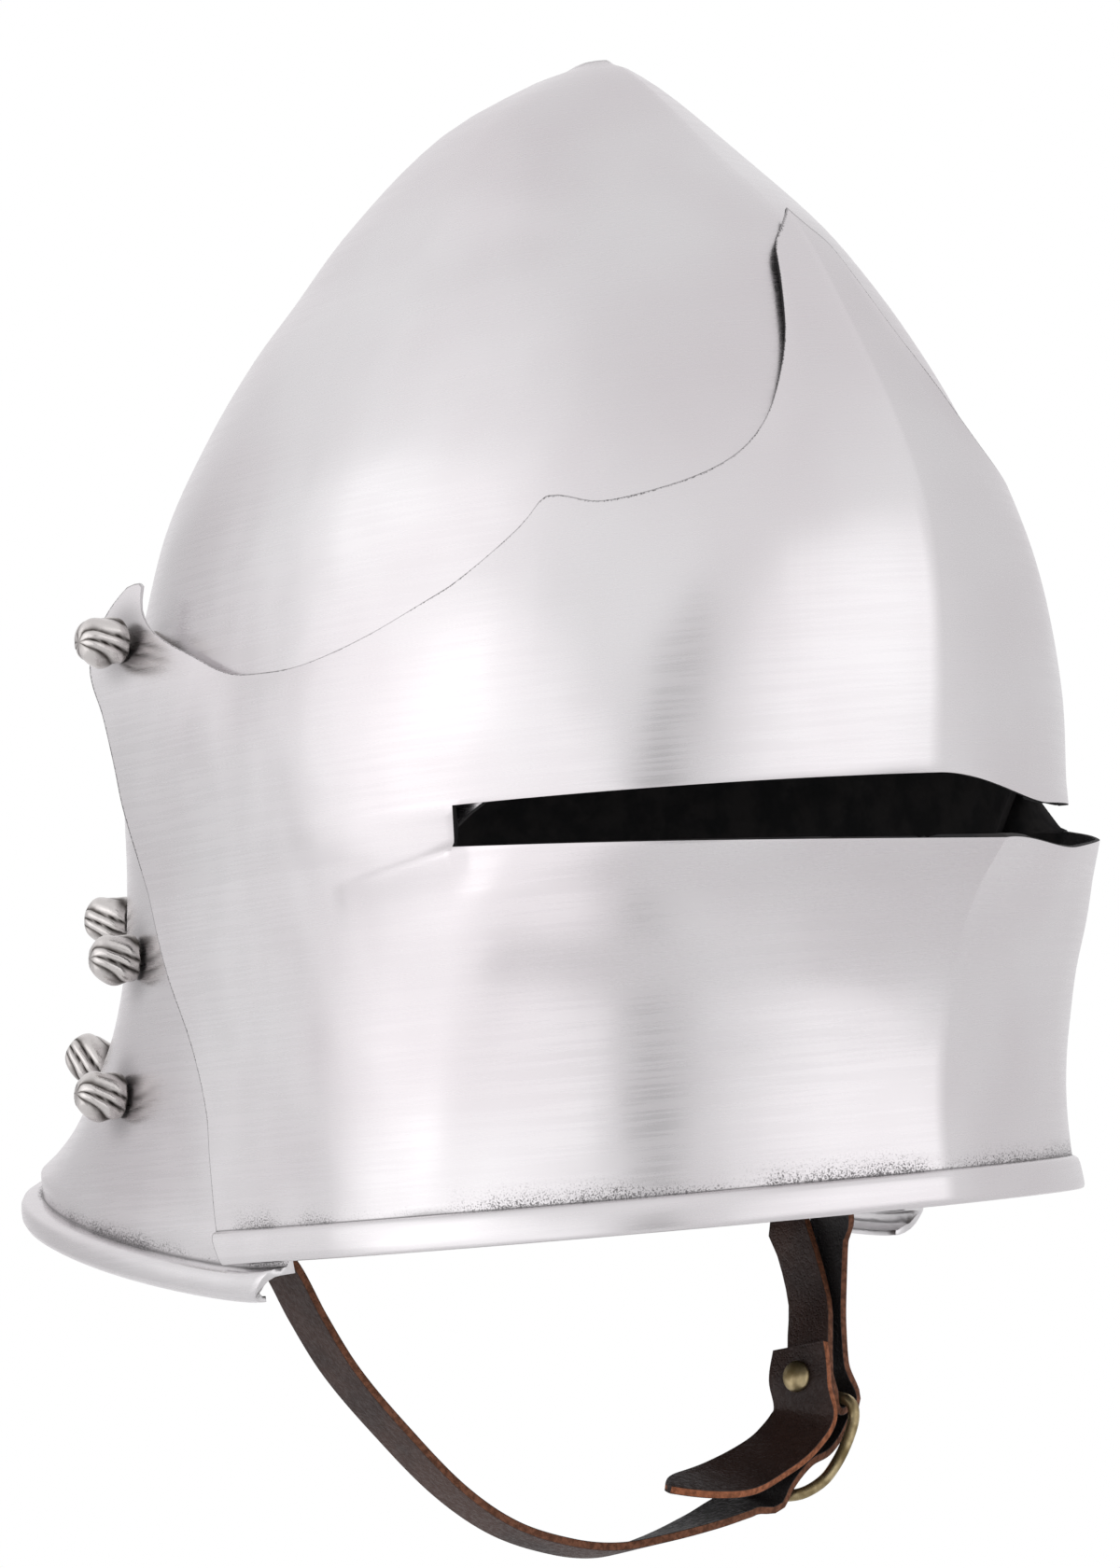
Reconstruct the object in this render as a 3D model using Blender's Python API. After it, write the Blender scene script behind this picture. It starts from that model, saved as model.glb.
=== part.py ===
"""A sallet: a one piece steel skull with a flared tail, a hinged visor and a buckled chin strap.

Metres, +Z up. The wearer looks along -Y and the wearer's left is +X. The origin is where the
crown of the head sits inside the skull. The visor's lower rim is level.
"""
import math

import bmesh
import bpy
from mathutils import Matrix, Vector

# Overall sizes
HELMET_HEIGHT = 0.304
SEAT_BELOW_APEX = 0.046
HALF_WIDTH = 0.106
FRONT_REACH = 0.114
REAR_REACH = 0.160
TAIL_REACH = 0.064
TAIL_LIFT = 0.032
SHEET = 0.002

# Visor
PROW_STEP = 0.0238
SLOT_LEVEL = 0.0974
SLOT_HEIGHT = 0.0104
SLOT_TOP_DROP = 0.0024
SLOT_DROP = 0.0102
SLOT_END_ABOVE = -0.038
SLOT_END_BELOW = -0.042
LEFT_SAG_ABOVE = 0.0086
LEFT_SAG_BELOW = 0.0058
VISOR_RIM = 0.0085
VISOR_RIM_PROUD = 0.0018
EAR_HEIGHT = 0.5921 * HELMET_HEIGHT
EAR_REAR = 0.1146
PIVOT_AHEAD = 0.0166
PIVOT_BELOW_EAR = 0.015
PIVOT_Y = EAR_REAR - PIVOT_AHEAD
PIVOT_HEIGHT = EAR_HEIGHT - PIVOT_BELOW_EAR

# Tail
TAIL_START = 0.052
TAIL_RIM_DROP = 0.0015
TAIL_RIM_HEIGHT = 0.0085
TAIL_RIM_PROUD = 0.0062
TAIL_RIM_SLANT = 3.6

# Bolts and rivets
BULB_RADIUS = 0.0063
BULB_LENGTH = 0.0142
BULB_FLUTES = 6
BULB_TWIST_DEG = 75.0
SHANK_RADIUS = 0.0025
SHANK_HEAD = 0.0045
FIT_GAP = 0.0004
RIVET_SEAT = 0.0006

# Chin strap and buckle
STRAP_WIDTH = 0.015
STRAP_THICK = 0.0024
STRAP_DROP = 0.087
STRAP_WALL = 0.965
STRAP_GAP = 0.00089
STRAP_SPAN = STRAP_WALL * HALF_WIDTH - SHEET - 0.5 * STRAP_THICK - STRAP_GAP
STRAP_BACK = 0.064
STRAP_RIVET_HEIGHT = 0.024
STRAP_RIVET_RADIUS = 0.0018
STRAP_RIVET_HEAD = 0.0036
FLAP_WIDTH = 0.0202
FLAP_RIVET_HEAD = 0.0043
FLAP_RIVET_PIN = 0.0013
FLAP_RIVET_DROP = 0.523
BUCKLE_LENGTH = 0.0320
BUCKLE_WIDTH = 0.026
BUCKLE_BULGE = 0.0045
BUCKLE_WIRE = 0.0016
BUCKLE_LEAN_DEG = 51.0
BUCKLE_ROLL_DEG = 20.0
PRONG_WIRE = 0.0011
BAR_SIDE = 0.770
BAR_DROP = 0.586
BUCKLE_BACK = 0.800

RIM_Z = SEAT_BELOW_APEX - HELMET_HEIGHT
PIVOT_Z = RIM_Z + PIVOT_HEIGHT

# The skull, one row a section from the apex down to the tail's edge.
# level: share of the helmet's height; front: share of the front reach; width: share of the
# half width; widest: share of the rear reach; back: share of the rear reach; tail: share of
# the tail reach; lift: share of the tail lift; prow: degrees; corner: weight; square: exponent
SKULL_COLUMNS = ("level", "front", "width", "widest", "back", "tail", "lift", "prow", "corner", "square")
SKULL_ROWS = (
    (0.9960, 0.030, 0.035, 0.010, 0.060, 0.00, 0.00, 16.0, 0.70, 2.10),
    (0.9870, 0.088, 0.110, 0.035, 0.190, 0.00, 0.00, 20.0, 0.72, 2.20),
    (0.9590, 0.190, 0.245, 0.062, 0.362, 0.00, 0.00, 22.0, 0.80, 2.40),
    (0.8940, 0.386, 0.392, 0.094, 0.575, 0.00, 0.00, 17.0, 0.84, 2.50),
    (0.8290, 0.588, 0.509, 0.125, 0.706, 0.00, 0.00, 15.0, 0.80, 2.60),
    (0.7890, 0.663, 0.589, 0.138, 0.769, 0.00, 0.00, 12.0, 0.82, 2.70),
    (0.7300, 0.755, 0.691, 0.150, 0.838, 0.00, 0.00, 10.0, 0.84, 2.80),
    (0.6500, 0.865, 0.810, 0.150, 0.906, 0.00, 0.00, 9.0, 0.80, 2.90),
    (0.5690, 0.941, 0.880, 0.150, 0.944, 0.00, 0.00, 8.0, 0.80, 3.00),
    (0.5000, 0.963, 0.925, 0.144, 0.972, 0.00, 0.00, 7.0, 0.84, 3.10),
    (0.4240, 0.946, 0.942, 0.138, 0.992, 0.00, 0.00, 6.0, 0.86, 3.20),
    (0.3420, 0.920, 0.945, 0.138, 1.000, 0.02, 0.00, 5.0, 0.84, 3.20),
    (0.2630, 0.900, 0.950, 0.150, 1.000, 0.09, 0.12, 5.0, 0.84, 3.20),
    (0.1970, 0.880, 0.955, 0.175, 1.000, 0.24, 0.30, 5.0, 0.84, 3.15),
    (0.1380, 0.870, 0.960, 0.212, 1.000, 0.45, 0.50, 5.0, 0.84, 3.10),
    (0.0820, 0.860, 0.966, 0.250, 1.000, 0.68, 0.72, 5.0, 0.84, 3.00),
    (0.0390, 0.850, 0.971, 0.250, 1.000, 0.89, 0.88, 5.0, 0.84, 3.00),
    (0.0130, 0.850, 0.978, 0.250, 1.000, 1.04, 0.96, 5.0, 0.84, 3.00),
)

# The face opening's edge: level as a share of the helmet's height, start as a share of the
# way round from the medial ridge to the back
OPENING_COLUMNS = ("level", "start")
OPENING_ROWS = (
    (0.0000, 0.444),
    (0.0660, 0.436),
    (0.1320, 0.420),
    (0.1970, 0.400),
    (0.2630, 0.375),
    (0.3130, 0.345),
    (0.3520, 0.305),
    (0.3820, 0.245),
    (0.4040, 0.165),
    (0.4150, 0.085),
    (0.4210, 0.000),
)

# The visor above the slot. toe: share of the half width lost towards the rear edge
VISOR_COLUMNS = ("level", "front", "width", "widest", "toe", "prow", "corner")
VISOR_ROWS = (
    (0.3450, 0.946, 0.991, 0.100, 0.030, 5.0, 0.84),
    (0.4240, 0.982, 0.991, 0.112, 0.032, 7.0, 0.88),
    (0.5000, 1.000, 0.964, 0.125, 0.016, 9.0, 0.89),
    (0.5690, 0.980, 0.915, 0.138, 0.000, 9.0, 0.81),
    (0.6500, 0.901, 0.845, 0.150, 0.000, 10.0, 0.80),
    (0.7300, 0.789, 0.726, 0.150, 0.000, 11.0, 0.84),
    (0.7890, 0.699, 0.625, 0.138, 0.000, 13.0, 0.81),
    (0.8300, 0.622, 0.546, 0.125, 0.000, 16.0, 0.80),
)

# The visor below the slot, from its rim up to the lip. level: share of the lip's height;
# step: share of the prow step that the ridge stands out
PLATE_COLUMNS = ("level", "front", "step", "width", "widest", "toe", "prow", "corner")
PLATE_ROWS = (
    (0.000, 0.851, 0.000, 1.005, 0.090, 0.000, 7.0, 0.78),
    (0.110, 0.855, 0.000, 0.998, 0.090, 0.000, 7.0, 0.74),
    (0.290, 0.862, 0.000, 0.996, 0.090, 0.000, 8.0, 0.76),
    (0.475, 0.885, 0.025, 0.996, 0.090, 0.005, 10.0, 0.86),
    (0.660, 0.915, 0.125, 0.994, 0.090, 0.012, 15.0, 1.12),
    (0.855, 0.935, 0.500, 0.990, 0.090, 0.018, 23.0, 1.65),
    (1.000, 0.946, 1.000, 0.985, 0.090, 0.024, 28.5, 1.85),
)

# The visor's outline. Around runs 0 at the ridge, 1 at the slot's end, 2 at the rear edge.
TOP_COLUMNS = ("around", "level")
TOP_ROWS = (
    (0.000, 0.8290),
    (0.070, 0.8130),
    (0.139, 0.7940),
    (0.168, 0.7615),
    (0.202, 0.7200),
    (0.252, 0.6790),
    (0.306, 0.6435),
    (0.372, 0.6175),
    (0.461, 0.6005),
    (0.584, 0.5895),
    (0.687, 0.5862),
    (0.806, 0.5955),
    (0.853, 0.5750),
    (0.949, 0.5450),
    (1.039, 0.5240),
    (1.171, 0.5020),
    (1.333, 0.4886),
    (1.470, 0.4890),
    (1.581, 0.4960),
    (1.687, 0.5190),
    (1.805, 0.5440),
    (1.870, 0.5640),
    (1.915, 0.5810),
    (1.945, 0.5895),
    (1.972, 0.5920),
    (2.000, 0.5905),
)
# The rear edge: level as a share of the ear's height, back as a share of the ear's reach
EDGE_COLUMNS = ("level", "back")
EDGE_ROWS = (
    (0.000, 0.545),
    (0.044, 0.582),
    (0.150, 0.590),
    (0.222, 0.592),
    (0.314, 0.638),
    (0.422, 0.728),
    (0.570, 0.816),
    (0.670, 0.876),
    (0.742, 0.905),
    (0.814, 0.942),
    (0.861, 0.985),
    (0.889, 1.000),
    (0.925, 0.988),
    (0.955, 0.958),
    (0.980, 0.915),
    (1.000, 0.862),
)

# The chin strap's pieces, as seen from the front. side: share of the strap's span; back: share
# of the strap's back; drop: share of the strap's drop; roll: share of the buckle's roll
# Right hand strap: rivet, rim and under the chin to the buckle
LONG_ROWS = (
    (-1.000, 1.000, -0.360, 0.0),
    (-1.000, 1.000, -0.200, 0.0),
    (-0.955, 0.995, -0.060, 0.0),
    (-0.902, 0.977, 0.046, 0.0),
    (-0.843, 0.977, 0.179, 0.0),
    (-0.755, 0.969, 0.349, 0.0),
    (-0.623, 0.953, 0.536, -0.1),
    (-0.455, 0.938, 0.738, -0.3),
    (-0.296, 0.922, 0.869, -0.6),
    (-0.118, 0.906, 0.948, -0.8),
    (0.030, 0.891, 0.978, -0.8),
    (0.169, 0.859, 0.964, -0.4),
    (0.325, 0.828, 0.928, 0.3),
    (0.450, 0.806, 0.890, 0.9),
)
# The same strap from the buckle up to its free end
FREE_ROWS = (
    (0.821, 0.843, 0.500, 0.4),
    (0.845, 0.875, 0.380, 0.1),
    (0.880, 0.895, 0.204, 0.0),
    (0.896, 0.893, 0.100, 0.0),
    (0.896, 0.865, 0.050, 0.0),
    (0.888, 0.822, 0.000, 0.0),
    (0.880, 0.790, -0.080, 0.0),
)
# Left hand strap, from its rivet down to the buckle's bar
SHORT_ROWS = (
    (1.000, 1.000, -0.360, 0.0),
    (1.000, 1.030, -0.200, 0.0),
    (0.950, 1.100, -0.070, 0.0),
    (0.862, 1.094, 0.037, 0.0),
    (0.853, 1.050, 0.100, 0.0),
    (0.843, 0.990, 0.195, 0.0),
    (0.822, 0.925, 0.300, 0.0),
    (0.755, 0.820, 0.430, 0.3),
    (0.733, 0.802, 0.535, 0.85),
)
# Leather flap below the buckle's bar, down to its pointed tip
FLAP_ROWS = (
    (0.702, 0.797, 0.640, 0.9),
    (0.632, 0.789, 0.713, 1.1),
    (0.544, 0.781, 0.760, 1.4),
    (0.396, 0.781, 0.808, 1.5),
    (0.196, 0.781, 0.810, 1.4),
)
# Flap outline. along: share of its length; half: share of half its width
FLAP_OUTLINE_COLUMNS = ("along", "half")
FLAP_OUTLINE_ROWS = (
    (0.00, 0.96),
    (0.30, 1.00),
    (0.55, 0.92),
    (0.75, 0.95),
    (0.88, 0.78),
    (0.95, 0.50),
    (1.00, 0.14),
)

# Where the nape rivets sit: level as a share of the helmet's height, around as a share of the
# way from the medial ridge to the back
NAPE_RIVETS = (
    (0.2660, 0.698),
    (0.1340, 0.675),
    (0.3060, 0.795),
    (0.1480, 0.820),
)


def clear_scene():
    for item in list(bpy.data.objects):
        bpy.data.objects.remove(item, do_unlink=True)


def smooth_value(points, where):
    """A smooth curve through (place, value) points, flat past its ends."""
    if where <= points[0][0]:
        return points[0][1]
    if where >= points[-1][0]:
        return points[-1][1]
    last = len(points) - 1
    index = max(i for i in range(last) if points[i][0] <= where)

    def slope(i):
        lo, hi = max(i - 1, 0), min(i + 1, last)
        return (points[hi][1] - points[lo][1]) / (points[hi][0] - points[lo][0])

    x0, y0 = points[index]
    x1, y1 = points[index + 1]
    run = x1 - x0
    t = (where - x0) / run
    return ((2 * t**3 - 3 * t**2 + 1) * y0 + (t**3 - 2 * t**2 + t) * run * slope(index)
            + (3 * t**2 - 2 * t**3) * y1 + (t**3 - t**2) * run * slope(index + 1))


def column(rows, names, key, name):
    """One column of a table against another, in rising order."""
    pairs = [(row[names.index(key)], row[names.index(name)]) for row in rows]
    return sorted(pairs)


def section(rows, names, level):
    """Every column of a table at one level."""
    return {name: smooth_value(column(rows, names, "level", name), level) for name in names[1:]}


def front_curve(front, half_width, widest, prow_deg, corner, steps=60):
    """Half a plate's plan, a conic from its ridge to its widest place."""
    knee = -front + half_width * math.tan(math.radians(prow_deg))
    curve = []
    for i in range(steps + 1):
        t = i / steps
        a, b, c = (1 - t) ** 2, 2 * t * (1 - t) * corner, t * t
        total = a + b + c
        curve.append(((b + c) * half_width / total, (-a * front + b * knee + c * widest) / total))
    return curve


def along(curve, share):
    """The point that lies at a share of a curve's length."""
    spans = [math.dist(curve[i], curve[i + 1]) for i in range(len(curve) - 1)]
    left = share * sum(spans)
    for i, span in enumerate(spans):
        if left <= span or i == len(spans) - 1:
            t = min(left / span, 1.0) if span > 0 else 0.0
            return tuple(p + (q - p) * t for p, q in zip(curve[i], curve[i + 1]))
        left -= span
    return curve[-1]


def tail_rise(y):
    """How far the tail's edge has climbed at a distance behind the apex."""
    run = REAR_REACH + TAIL_REACH - TAIL_START
    return TAIL_LIFT * max(0.0, (y - TAIL_START) / run) ** 1.3


def skull_curve(level):
    """Half the skull's plan at a level, from its ridge round to its back."""
    s = section(SKULL_ROWS, SKULL_COLUMNS, level)
    half_width = s["width"] * HALF_WIDTH
    widest = s["widest"] * REAR_REACH
    back = s["back"] * REAR_REACH + s["tail"] * TAIL_REACH
    curve = front_curve(s["front"] * FRONT_REACH, half_width, widest, s["prow"], s["corner"])
    steps = 60
    for i in range(1, steps + 1):
        a = 0.5 * math.pi * i / steps
        x = half_width * max(math.cos(a), 0.0) ** (2 / s["square"])
        y = widest + (back - widest) * math.sin(a) ** (2 / s["square"])
        curve.append((x, y))
    return curve, s["lift"]


def skull_point(level, around, curve=None):
    """A point on the skull's outside, on the wearer's left."""
    plan, lift = curve or skull_curve(level)
    x, y = along(plan, around)
    return Vector((x, y, RIM_Z + level * HELMET_HEIGHT + lift * tail_rise(y)))


def outward(point_of, level, around, sign=1.0):
    """The outward normal of a surface, from its neighbours."""
    step = 0.004
    up = point_of(level + step, around) - point_of(level - step, around)
    side = point_of(level, around + step) - point_of(level, around - step)
    normal = side.cross(up).normalized()
    return Vector((sign * normal.x, normal.y, normal.z))


def grid_mesh(rows):
    """A sheet through rows of points, its meeting edges joined."""
    bm = bmesh.new()
    across, down = len(rows[0]), len(rows)
    bmesh.ops.create_grid(bm, x_segments=across - 1, y_segments=down - 1, size=1.0)
    bm.verts.ensure_lookup_table()
    for j, row in enumerate(rows):
        for i, point in enumerate(row):
            bm.verts[j * across + i].co = point
    return bm


def finish_sheet(bm, name, material, thickness, merge=0.00002):
    """Joins a sheet's edges and gives it its thickness inwards."""
    bmesh.ops.remove_doubles(bm, verts=bm.verts, dist=merge)
    bmesh.ops.dissolve_degenerate(bm, edges=bm.edges, dist=merge)
    centre = Vector((0.0, 0.0, RIM_Z + 0.5 * HELMET_HEIGHT))
    if sum(face.normal.dot(face.calc_center_median() - centre) for face in bm.faces) < 0:
        bmesh.ops.reverse_faces(bm, faces=bm.faces)
    item = add_object(bm, name, material)
    solid = item.modifiers.new("Thickness", "SOLIDIFY")
    solid.thickness = thickness
    solid.offset = -1.0
    solid.use_even_offset = True
    solid.thickness_clamp = 0.8
    return item


def add_object(bm, name, material, smooth_deg=40.0):
    mesh = bpy.data.meshes.new(name)
    bm.to_mesh(mesh)
    bm.free()
    item = bpy.data.objects.new(name, mesh)
    bpy.context.scene.collection.objects.link(item)
    mesh.materials.append(material)
    mesh.shade_smooth()
    mesh.set_sharp_from_angle(angle=math.radians(smooth_deg))
    return item


def make_material(name, colour, roughness, metallic):
    material = bpy.data.materials.new(name)
    material.use_nodes = True
    shader = material.node_tree.nodes["Principled BSDF"]
    shader.inputs["Base Color"].default_value = (*colour, 1.0)
    shader.inputs["Roughness"].default_value = roughness
    shader.inputs["Metallic"].default_value = metallic
    material.diffuse_color = (*colour, 1.0)
    return material


def drill(item, place, direction, radius, length, name):
    """Cuts a round hole along a direction."""
    bm = bmesh.new()
    turn = direction.to_track_quat("Z", "Y").to_matrix().to_4x4()
    bmesh.ops.create_cone(bm, cap_ends=True, segments=12, radius1=radius, radius2=radius, depth=length,
                          matrix=Matrix.Translation(place) @ turn)
    mesh = bpy.data.meshes.new(name)
    bm.to_mesh(mesh)
    bm.free()
    cutter = bpy.data.objects.new(name, mesh)
    bpy.context.scene.collection.objects.link(cutter)
    cutter.hide_render = True
    cutter.display_type = "WIRE"
    cut = item.modifiers.new(name, "BOOLEAN")
    cut.operation = "DIFFERENCE"
    cut.solver = "EXACT"
    cut.object = cutter


def opening_start(level):
    return smooth_value(column(OPENING_ROWS, OPENING_COLUMNS, "level", "start"), level)


def skull_levels():
    """The skull's levels from the apex down, close together round the brow."""
    crown = [row[0] for row in SKULL_ROWS if row[0] > OPENING_ROWS[-1][0]]
    brow = [row[0] for row in reversed(OPENING_ROWS)][:5]
    below = [row[0] for row in SKULL_ROWS if row[0] < brow[-1] - 0.01]
    return crown + brow + below


def make_skull(steel):
    half = 20
    levels = skull_levels()
    apex = Vector((0.0, 0.0, RIM_Z + HELMET_HEIGHT))
    rows = [[apex] * (2 * half + 1)]

    def ring(level, push=0.0, drop=0.0):
        curve = skull_curve(max(level, 0.0))
        start = opening_start(level) + TAIL_RIM_SLANT * drop
        right = []
        for i in range(half + 1):
            around = start + (1.0 - start) * (i / half)
            point = skull_point(max(level, 0.0), around, curve)
            if push:
                ahead = skull_point(max(level, 0.0), min(around + 0.01, 1.0), curve)
                behind = skull_point(max(level, 0.0), around - 0.01, curve)
                side = ahead - behind
                flat = Vector((side.y, -side.x, 0.0)).normalized()
                if i == half:
                    flat = Vector((0.0, 1.0, 0.0))
                point = point + flat * push
            point.z -= drop
            right.append(Vector((-point.x, point.y, point.z)))
        left = [Vector((-p.x, p.y, p.z)) for p in reversed(right[:-1])]
        right[-1].x = 0.0
        return right + left

    for level in levels:
        rows.append(ring(level))
    rim = (
        (0.00, 0.00),
        (0.62, 0.02),
        (1.00, 0.28),
        (1.00, 0.68),
        (0.62, 0.96),
        (0.15, 1.00),
    )
    for out, down in rim:
        rows.append(ring(0.0, out * TAIL_RIM_PROUD, TAIL_RIM_DROP + down * TAIL_RIM_HEIGHT))
    bm = grid_mesh(rows)
    return finish_sheet(bm, "skull", steel, SHEET)


def lip_level(around):
    """The lip's height: lowest at the ridge, level behind the slot's end."""
    return SLOT_LEVEL - SLOT_DROP * max(0.0, 1.0 - around)


def left_sag(around, most):
    """How far the slot hangs lower on the wearer's left than on the right."""
    rise = min(1.0, max(0.0, around / 0.42))
    fall = min(1.0, max(0.0, (1.45 - around) / 0.75))
    return most * rise * rise * (3.0 - 2.0 * rise) * fall * fall * (3.0 - 2.0 * fall)


def edge_back(height):
    points = column(EDGE_ROWS, EDGE_COLUMNS, "level", "back")
    return EAR_REAR * smooth_value(points, height / EAR_HEIGHT)


def split_curve(front, half_width, widest, toe, prow, corner, around, height, slot_end):
    """A visor section: ridge to slot end, then slot end to the rear edge."""
    curve = front_curve(front, half_width, widest, prow, corner)
    rear = edge_back(height)
    steps = 10
    for i in range(1, steps + 1):
        s = i / steps
        curve.append((half_width - toe * s * s, widest + (rear - widest) * s))
    cut = next(i for i, p in enumerate(curve) if p[1] > slot_end)
    low, high = curve[cut - 1], curve[cut]
    t = (slot_end - low[1]) / (high[1] - low[1])
    meet = (low[0] + (high[0] - low[0]) * t, slot_end)
    if around <= 1.0:
        return along(curve[:cut] + [meet], around)
    return along([meet] + curve[cut:], around - 1.0)


def upper_point(height, around):
    """A point on the visor's outside above the slot, on the wearer's left."""
    s = section(VISOR_ROWS, VISOR_COLUMNS, height / HELMET_HEIGHT)
    x, y = split_curve(s["front"] * FRONT_REACH, s["width"] * HALF_WIDTH, s["widest"] * REAR_REACH,
                       s["toe"] * HALF_WIDTH, s["prow"], s["corner"], around, height, SLOT_END_ABOVE)
    return Vector((x, y, RIM_Z + height))


def lower_point(share, around, push=0.0, sag=0.0):
    """A point on the visor's outside below the slot; share runs from rim to lip."""
    s = section(PLATE_ROWS, PLATE_COLUMNS, share)
    height = share * (lip_level(around) - sag)
    front = s["front"] * FRONT_REACH + s["step"] * PROW_STEP + push
    x, y = split_curve(front, s["width"] * HALF_WIDTH + push, s["widest"] * REAR_REACH,
                       s["toe"] * HALF_WIDTH, s["prow"], s["corner"], around, height, SLOT_END_BELOW)
    return Vector((x, y, RIM_Z + height))


def top_height(around):
    points = column(TOP_ROWS, TOP_COLUMNS, "around", "level")
    return HELMET_HEIGHT * smooth_value(points, around)


def make_visor(steel):
    stations = [0.0, 0.07, 0.139, 0.168, 0.202, 0.26, 0.34, 0.46, 0.58, 0.70, 0.806, 0.86, 1.0,
                1.14, 1.28, 1.42, 1.56, 1.68, 1.80, 1.90, 2.0]
    arounds = [-a for a in reversed(stations[1:])] + stations
    rows = []

    def mirrored(point, around):
        return Vector((-point.x, point.y, point.z)) if around < 0 else point

    roll = (
        (0.05, 0.00),
        (0.75, 0.04),
        (1.00, 0.45),
        (0.75, 0.90),
        (0.00, 1.00),
    )
    for out, up in roll:
        row = []
        for around in arounds:
            sag = left_sag(around, LEFT_SAG_BELOW)
            share = up * VISOR_RIM / (lip_level(abs(around)) - sag)
            point = lower_point(share, abs(around), out * VISOR_RIM_PROUD, sag)
            row.append(mirrored(point, around))
        rows.append(row)
    for share in (0.20, 0.36, 0.51, 0.65, 0.78, 0.89, 1.0):
        rows.append([mirrored(lower_point(share, abs(a), 0.0, left_sag(a, LEFT_SAG_BELOW)), a)
                     for a in arounds])
    lip_row = len(rows) - 1
    for share in (0.0, 0.10, 0.20, 0.32, 0.44, 0.56, 0.68, 0.79, 0.90, 1.0):
        row = []
        for around in arounds:
            start = SLOT_LEVEL + SLOT_HEIGHT - SLOT_TOP_DROP * max(0.0, 1.0 - abs(around))
            start -= left_sag(around, LEFT_SAG_ABOVE)
            height = start + share * (top_height(abs(around)) - start)
            row.append(mirrored(upper_point(height, abs(around)), around))
        rows.append(row)
    bm = grid_mesh(rows)
    bm.faces.ensure_lookup_table()
    across = len(arounds) - 1
    gap = [bm.faces[lip_row * across + i] for i in range(across)
           if abs(arounds[i]) <= 1.0 and abs(arounds[i + 1]) <= 1.0]
    bmesh.ops.delete(bm, geom=gap, context="FACES")
    visor = finish_sheet(bm, "visor", steel, SHEET)
    pivot = Vector((0.0, PIVOT_Y, PIVOT_Z))
    visor.data.transform(Matrix.Translation(-pivot))
    visor.location = pivot
    return visor


def skin(rings, capped=True, looped=False):
    """A closed body through rings of points."""
    bm = bmesh.new()
    loops = [[bm.verts.new(point) for point in ring] for ring in rings]
    count = len(loops[0])
    pairs = list(zip(loops, loops[1:])) + ([(loops[-1], loops[0])] if looped else [])
    for low, high in pairs:
        for i in range(count):
            k = (i + 1) % count
            bm.faces.new((low[i], low[k], high[k], high[i]))
    if capped and not looped:
        bm.faces.new(reversed(loops[0]))
        bm.faces.new(loops[-1])
    bmesh.ops.recalc_face_normals(bm, faces=bm.faces)
    return bm


def smooth_path(points, steps):
    """Even points on a smooth curve through a few points, each with its roll."""
    marks = [0.0]
    for a, b in zip(points, points[1:]):
        marks.append(marks[-1] + (b - a).to_3d().length)
    total = marks[-1]
    axes = [[(mark, point[axis]) for mark, point in zip(marks, points)] for axis in range(4)]
    places = [total * i / steps for i in range(steps + 1)]
    return [Vector([smooth_value(axis, place) for axis in axes]) for place in places]


def directions(path, looped=False):
    last = len(path) - 1
    result = []
    for i in range(last + 1):
        if looped:
            result.append((path[(i + 1) % (last + 1)] - path[i - 1]).to_3d().normalized())
        else:
            result.append((path[min(i + 1, last)] - path[max(i - 1, 0)]).to_3d().normalized())
    return result


def band_axes(point, way):
    """Across a band, and out of its face."""
    side = Vector((0.0, 1.0, 0.0)).lerp(buckle_axes()[2], point[3])
    across = (side - way * way.dot(side)).normalized()
    return across, across.cross(way).normalized()


def band_rings(path, half_widths, thickness):
    """Rings of a flat band whose width runs front to back, turned by its roll."""
    rings = []
    for point, way, half in zip(path, directions(path), half_widths):
        across, out = band_axes(point, way)
        centre = point.to_3d()
        across *= half
        out *= 0.5 * thickness
        corners = ((-1, -1), (1, -1), (1, 1), (-1, 1))
        rings.append([centre + across * a + out * b for a, b in corners])
    return rings


def tube_rings(path, radii, sides, looped=False):
    """Rings of a round wire."""
    side = buckle_axes()[2]
    rings = []
    for point, way, radius in zip(path, directions(path, looped), radii):
        first = side - way * way.dot(side)
        if first.length < 0.2:
            first = buckle_axes()[1]
            first -= way * way.dot(first)
        first.normalize()
        second = way.cross(first)
        ring = []
        for i in range(sides):
            turn = 2 * math.pi * i / sides
            ring.append(point + radius * (math.cos(turn) * first + math.sin(turn) * second))
        rings.append(ring)
    return rings


def turned_rings(profile, place, direction, sides=12, flutes=0, depth=0.0, twist=0.0):
    """Rings of a turned body; a fluted stretch twists as it goes along."""
    turn = direction.to_track_quat("Z", "Y").to_matrix()
    low = min(row[0] for row in profile if row[2]) if flutes else 0.0
    high = max(row[0] for row in profile if row[2]) if flutes else 1.0
    rings = []
    for height, radius, fluted in profile:
        share = (height - low) / (high - low) if fluted else 0.0
        ring = []
        for i in range(sides):
            angle = 2 * math.pi * i / sides
            lean = angle + twist * share
            wave = depth * math.cos(flutes * angle) if fluted else 0.0
            size = radius * (1.0 + wave)
            ring.append(place + turn @ Vector((size * math.cos(lean), size * math.sin(lean), height)))
        rings.append(ring)
    return rings


def bulb_profile(seat, reach, head_radius, head_thick):
    """Height, radius and fluted or not, from the inner head out to the bulb's tip."""
    shape = (
        (0.00, 0.68),
        (0.16, 0.88),
        (0.40, 1.00),
        (0.66, 0.90),
        (0.87, 0.58),
        (1.00, 0.16),
    )
    rows = [(-reach - head_thick, head_radius, False), (-reach, head_radius, False),
            (-reach, SHANK_RADIUS, False), (seat, SHANK_RADIUS, False)]
    for share, size in shape:
        rows.append((seat + share * BULB_LENGTH, size * BULB_RADIUS, 0.05 < share < 0.99))
    return rows


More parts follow.
